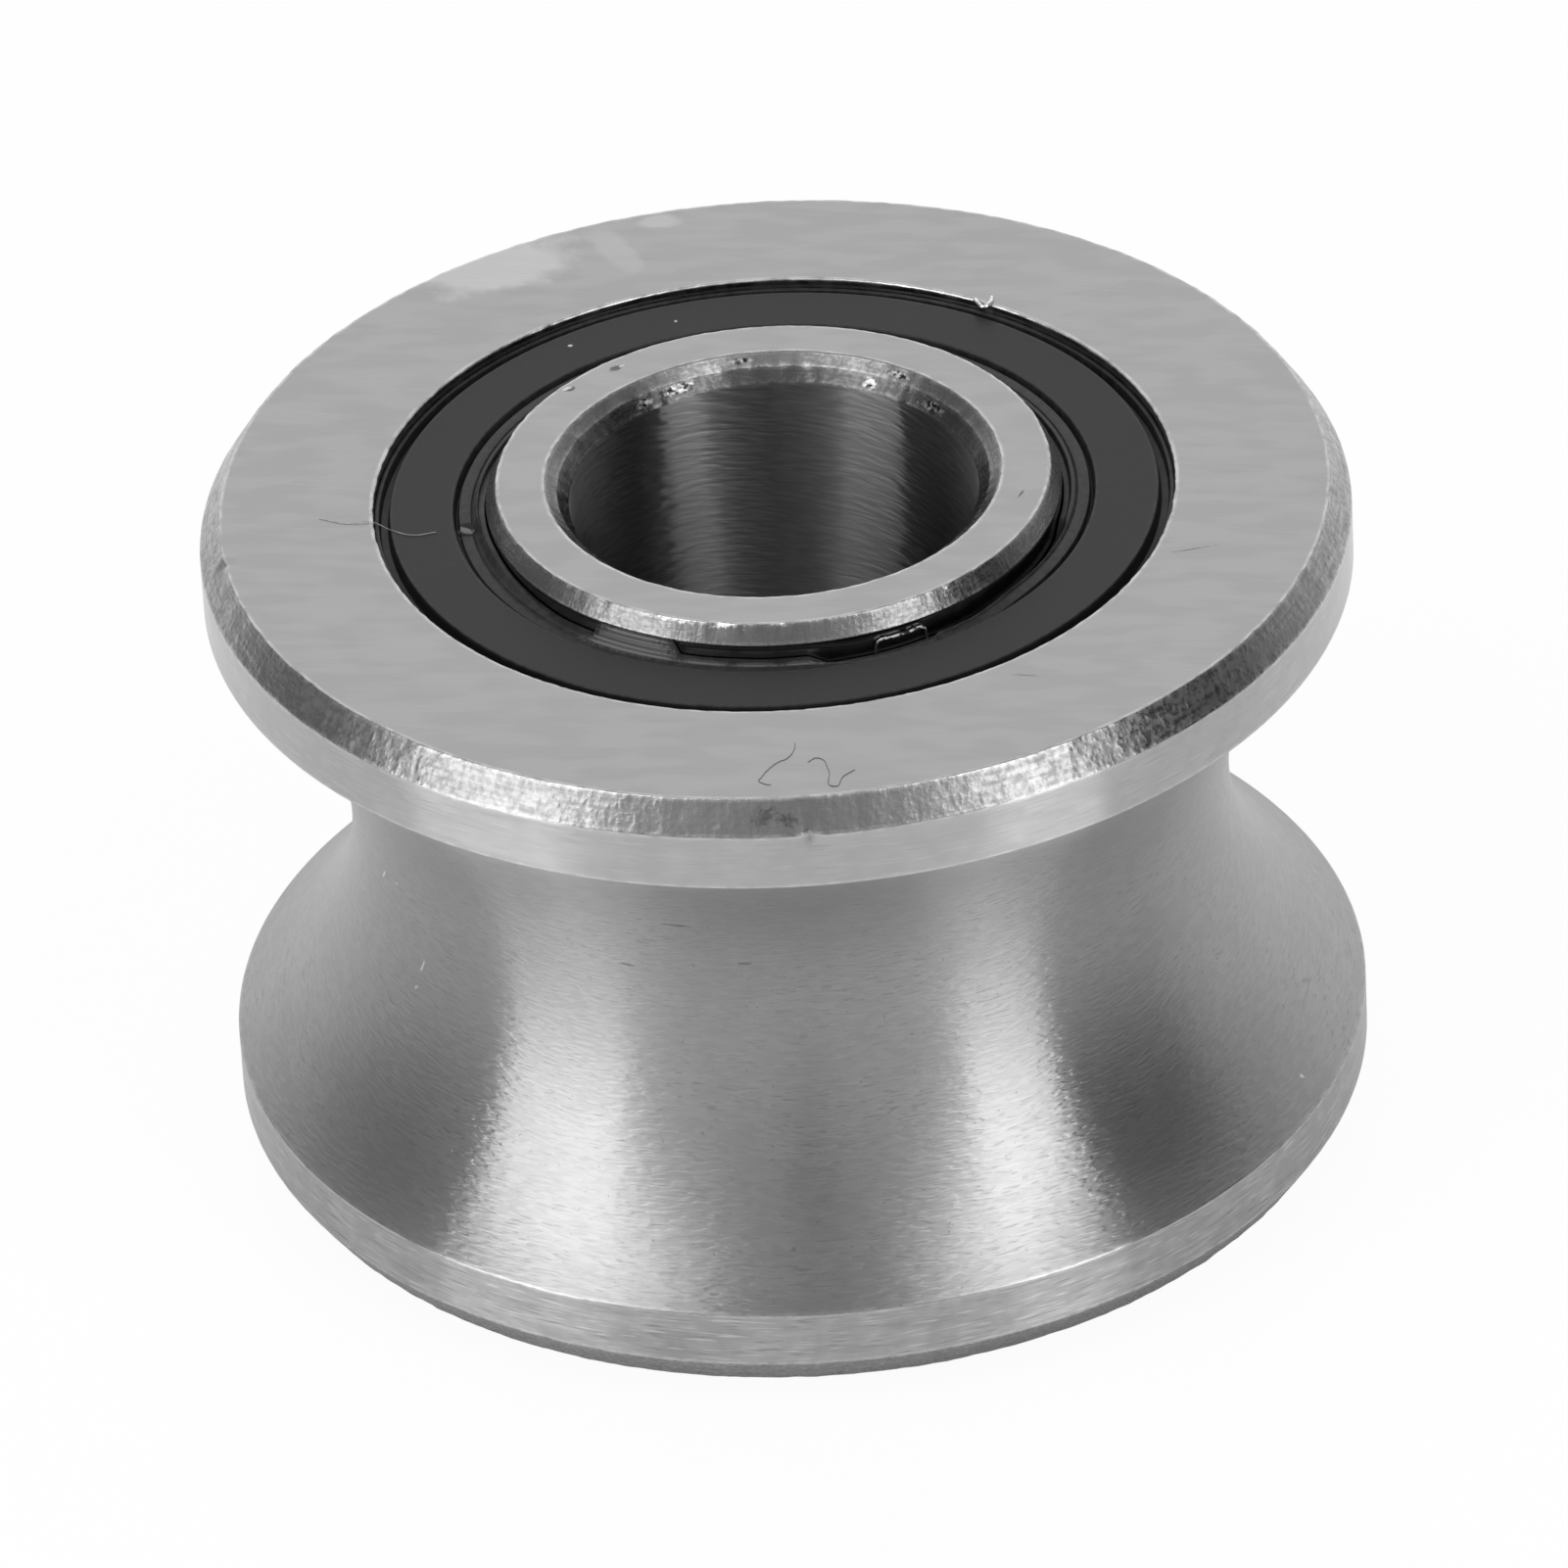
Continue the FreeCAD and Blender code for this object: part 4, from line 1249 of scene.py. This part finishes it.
LINT = 0.0065
FIBRES = (
    ("lint_curl", dark_lint, LINT, (
        (-0.37, -10.38, 0.0), (-0.50, -10.33, 0.0), (-0.60, -10.20, 0.0), (-0.55, -10.12, 0.0),
        (-0.45, -9.92, 0.0), (-0.20, -9.61, 0.0), (-0.05, -9.52, 0.0), (0.11, -9.20, 0.0),
        (0.13, -9.00, 0.0))),
    ("lint_hook", dark_lint, LINT, (
        (0.35, -9.67, 0.0), (0.54, -9.55, 0.0), (0.73, -9.97, 0.0), (0.82, -10.55, 0.0), (1.00, -10.23, 0.0),
        (1.23, -10.02, 0.0))),
    ("lint_over_edge", pale_lint, LINT, (
        (-8.87, -0.14, 0.0), (-8.36, -0.37, 0.0), (-7.84, -0.39, 0.01), (-7.49, -0.53, -0.10),
        (-7.05, -0.75, -0.11), (-6.61, -0.69, -0.11))),
    ("lip_shred", sliver, 0.025, (
        (1.78, -5.45, -0.40), (1.83, -5.38, -0.20), (2.10, -5.28, -0.17), (2.42, -5.14, -0.17),
        (2.72, -4.99, -0.18), (2.78, -5.00, -0.40))),
    ("seat_curl", curl_steel, 0.045, (
        (4.22, 6.54, 0.0), (4.27, 6.37, 0.01), (4.38, 6.24, 0.0), (4.50, 6.35, 0.02), (4.55, 6.58, 0.0))),
)
for name, finish, thickness, path in FIBRES:
    fibre(name, [(x, y, face_height + rise) for x, y, rise in path], finish, thickness)

# %% [markdown]
# ## Studio
#
# The photograph was taken in a small light tent: two soft boxes at the left and right of the camera,
# pale walls behind, and darker gaps beside the boxes. Metal shows what surrounds it, so the world is
# that tent, painted by compass direction. A mesh tent would do the same, but it would stand in the way
# when the camera moves to another side. The camera itself sees the far wall as white.

# %% The tent
TENT_STOPS = (
    (-180, 1.10), (-150, 0.90), (-130, 0.50), (-114, 0.19), (-97, 0.19), (-91, 0.26), (-76, 0.27),
    (-40, 0.48), (-8, 0.50), (0, 0.25), (8, 0.46), (34, 0.46), (58, 0.16), (64, 0.03), (90, 0.03),
    (108, 0.42), (140, 0.80), (180, 1.10),
)
OVERHEAD = 0.55
ROOF_START = 0.62
ROOF_FULL = 0.88


def light_tent():
    world = bpy.data.worlds.new("light_tent")
    bpy.context.scene.world = world
    world.use_nodes = True
    tree = world.node_tree
    tree.nodes.clear()
    direction = add(tree, "ShaderNodeTexCoord").outputs["Generated"]
    x, y, z = parts_of(tree, direction)
    compass = maths(tree, "ARCTAN2", x, maths(tree, "MULTIPLY", y, -1.0))
    turn = spread(tree, compass, -math.pi, math.pi)
    ramp = add(tree, "ShaderNodeValToRGB", {0: turn})
    stops = ramp.color_ramp.elements
    while len(stops) < len(TENT_STOPS):
        stops.new(0.5)
    for stop, (degrees, level) in zip(stops, TENT_STOPS):
        stop.position = (degrees + 180) / 360
        stop.color = grey(level)
    roof = spread(tree, z, ROOF_START, ROOF_FULL)
    wall = blend(tree, roof, ramp.outputs[0], grey(OVERHEAD))
    tent = add(tree, "ShaderNodeBackground", {"Color": wall, "Strength": 1.0})
    white = add(tree, "ShaderNodeBackground", {"Color": grey(1.0), "Strength": 1.0})
    path = add(tree, "ShaderNodeLightPath").outputs
    seen = maths(tree, "MAXIMUM", path["Is Camera Ray"], path["Is Transmission Ray"])
    mixed = add(tree, "ShaderNodeMixShader", {0: seen, 1: tent.outputs[0], 2: white.outputs[0]})
    add(tree, "ShaderNodeOutputWorld", {"Surface": mixed.outputs[0]})
    print(f"tent: {len(TENT_STOPS)} levels round the compass")


light_tent()

# %% [markdown]
# The two soft boxes are tall area lamps. Their brightness is given as seen from the part, so a lamp's
# power follows from its size. They are hidden from the camera, not from reflections.

# %% Soft boxes
BOX_DISTANCE = 250.0


def soft_box(name, azimuth, elevation, wide, tall, brightness):
    """A lamp seen from the part at a compass direction, so many degrees wide and tall."""
    turn = math.radians(azimuth)
    rise = math.radians(elevation)
    away = Vector((math.sin(turn) * math.cos(rise), -math.cos(turn) * math.cos(rise), math.sin(rise)))
    lamp = bpy.data.lights.new(name, "AREA")
    lamp.shape = "RECTANGLE"
    lamp.size = 2 * BOX_DISTANCE * math.tan(math.radians(wide / 2)) * MM
    lamp.size_y = 2 * BOX_DISTANCE * math.tan(math.radians(tall / 2)) * MM
    lamp.energy = brightness * math.pi * lamp.size * lamp.size_y
    box = bpy.data.objects.new(name, lamp)
    bpy.context.scene.collection.objects.link(box)
    box.location = (away * BOX_DISTANCE + Vector((0, 0, MIDDLE))) * MM
    box.rotation_euler = (-away).to_track_quat("-Z", "Y").to_euler()
    box.visible_camera = False
    print(f"{name}: {lamp.size / MM:.0f} by {lamp.size_y / MM:.0f} mm")


soft_box("left_soft_box", -58, 32, 33, 76, 2.2)
soft_box("right_soft_box", 48, 32, 23, 76, 2.4)

# %% [markdown]
# The part stands on a pale floor. Seen by the camera the floor is mostly its own white, with a little of
# the lit surface mixed in, so that the part's shadow stays. Metal mirrors the white only behind the
# part, which is how the groove shows it.

# %% Floor
FLOOR_HALF = 2000.0
FLOOR_GAP = 0.02
SEEN_WHITE = 0.95
MIRRORED_WHITE = 0.9
WHITE_FROM = -4.0
WHITE_FULL = 25.0


def pale_floor():
    """A wide square under the part. The camera sees it near white, and it still takes the shadow."""
    half = FLOOR_HALF * MM
    gap = FLOOR_GAP * MM
    mesh = bpy.data.meshes.new("floor")
    corners = [(-half, -half, -gap), (half, -half, -gap), (half, half, -gap), (-half, half, -gap)]
    mesh.from_pydata(corners, [], [(0, 1, 2, 3)])
    floor = bpy.data.objects.new("floor", mesh)
    bpy.context.scene.collection.objects.link(floor)
    material, tree, shader = new_finish(
        "pale_floor", Roughness=0.15, Base_Color=grey(0.95), Specular_IOR_Level=0.6)
    glow = add(tree, "ShaderNodeEmission", {"Color": grey(1.0), "Strength": 1.0})
    path = add(tree, "ShaderNodeLightPath").outputs
    x, y, z = parts_of(tree, place_mm(tree))
    behind = spread(tree, y, WHITE_FROM, WHITE_FULL, 0.0, MIRRORED_WHITE)
    mirrored = maths(tree, "MULTIPLY", path["Is Glossy Ray"], behind)
    looked_at = maths(tree, "MAXIMUM", path["Is Camera Ray"], path["Is Transmission Ray"])
    seen = maths(tree, "MULTIPLY", looked_at, SEEN_WHITE)
    share = maths(tree, "MAXIMUM", seen, mirrored)
    mixed = add(tree, "ShaderNodeMixShader", {0: share, 1: shader.outputs[0], 2: glow.outputs[0]})
    tree.links.new(mixed.outputs[0], tree.nodes["Material Output"].inputs["Surface"])
    mesh.materials.append(material)
    print(f"floor: {2 * FLOOR_HALF:.0f} mm wide")


pale_floor()

# %% [markdown]
# ## Camera
#
# The camera's place was fitted to the photograph's edges: a long lens, about a third of a right angle
# above the table, with the picture turned a little, so that the part leans to the left.

# %% Camera
CAMERA_TARGET = Vector((-0.124, 0.0, 7.004))
CAMERA_DISTANCE = 273.757
CAMERA_ELEVATION = math.radians(33.622)
CAMERA_ROLL = math.radians(-3.24)
SENSOR_WIDTH = 36.0
FOCAL_LENGTH = 318.03


def photo_camera():
    lens = bpy.data.cameras.new("photo_camera")
    lens.sensor_width = SENSOR_WIDTH
    lens.lens = FOCAL_LENGTH
    lens.clip_start = 0.01
    lens.clip_end = 10.0
    camera = bpy.data.objects.new("photo_camera", lens)
    bpy.context.scene.collection.objects.link(camera)
    back = Vector((0.0, -math.cos(CAMERA_ELEVATION), math.sin(CAMERA_ELEVATION)))
    level_up = Vector((0.0, math.sin(CAMERA_ELEVATION), math.cos(CAMERA_ELEVATION)))
    level_right = Vector((1.0, 0.0, 0.0))
    right = level_right * math.cos(CAMERA_ROLL) + level_up * math.sin(CAMERA_ROLL)
    up = level_up * math.cos(CAMERA_ROLL) - level_right * math.sin(CAMERA_ROLL)
    turn = Matrix((right, up, back)).transposed().to_4x4()
    place = (CAMERA_TARGET + back * CAMERA_DISTANCE) * MM
    camera.matrix_world = Matrix.Translation(place) @ turn
    bpy.context.scene.camera = camera
    print(f"camera {CAMERA_DISTANCE:.0f} mm away, lens {FOCAL_LENGTH:.0f} mm")


photo_camera()
bpy.context.scene.view_settings.view_transform = "Standard"
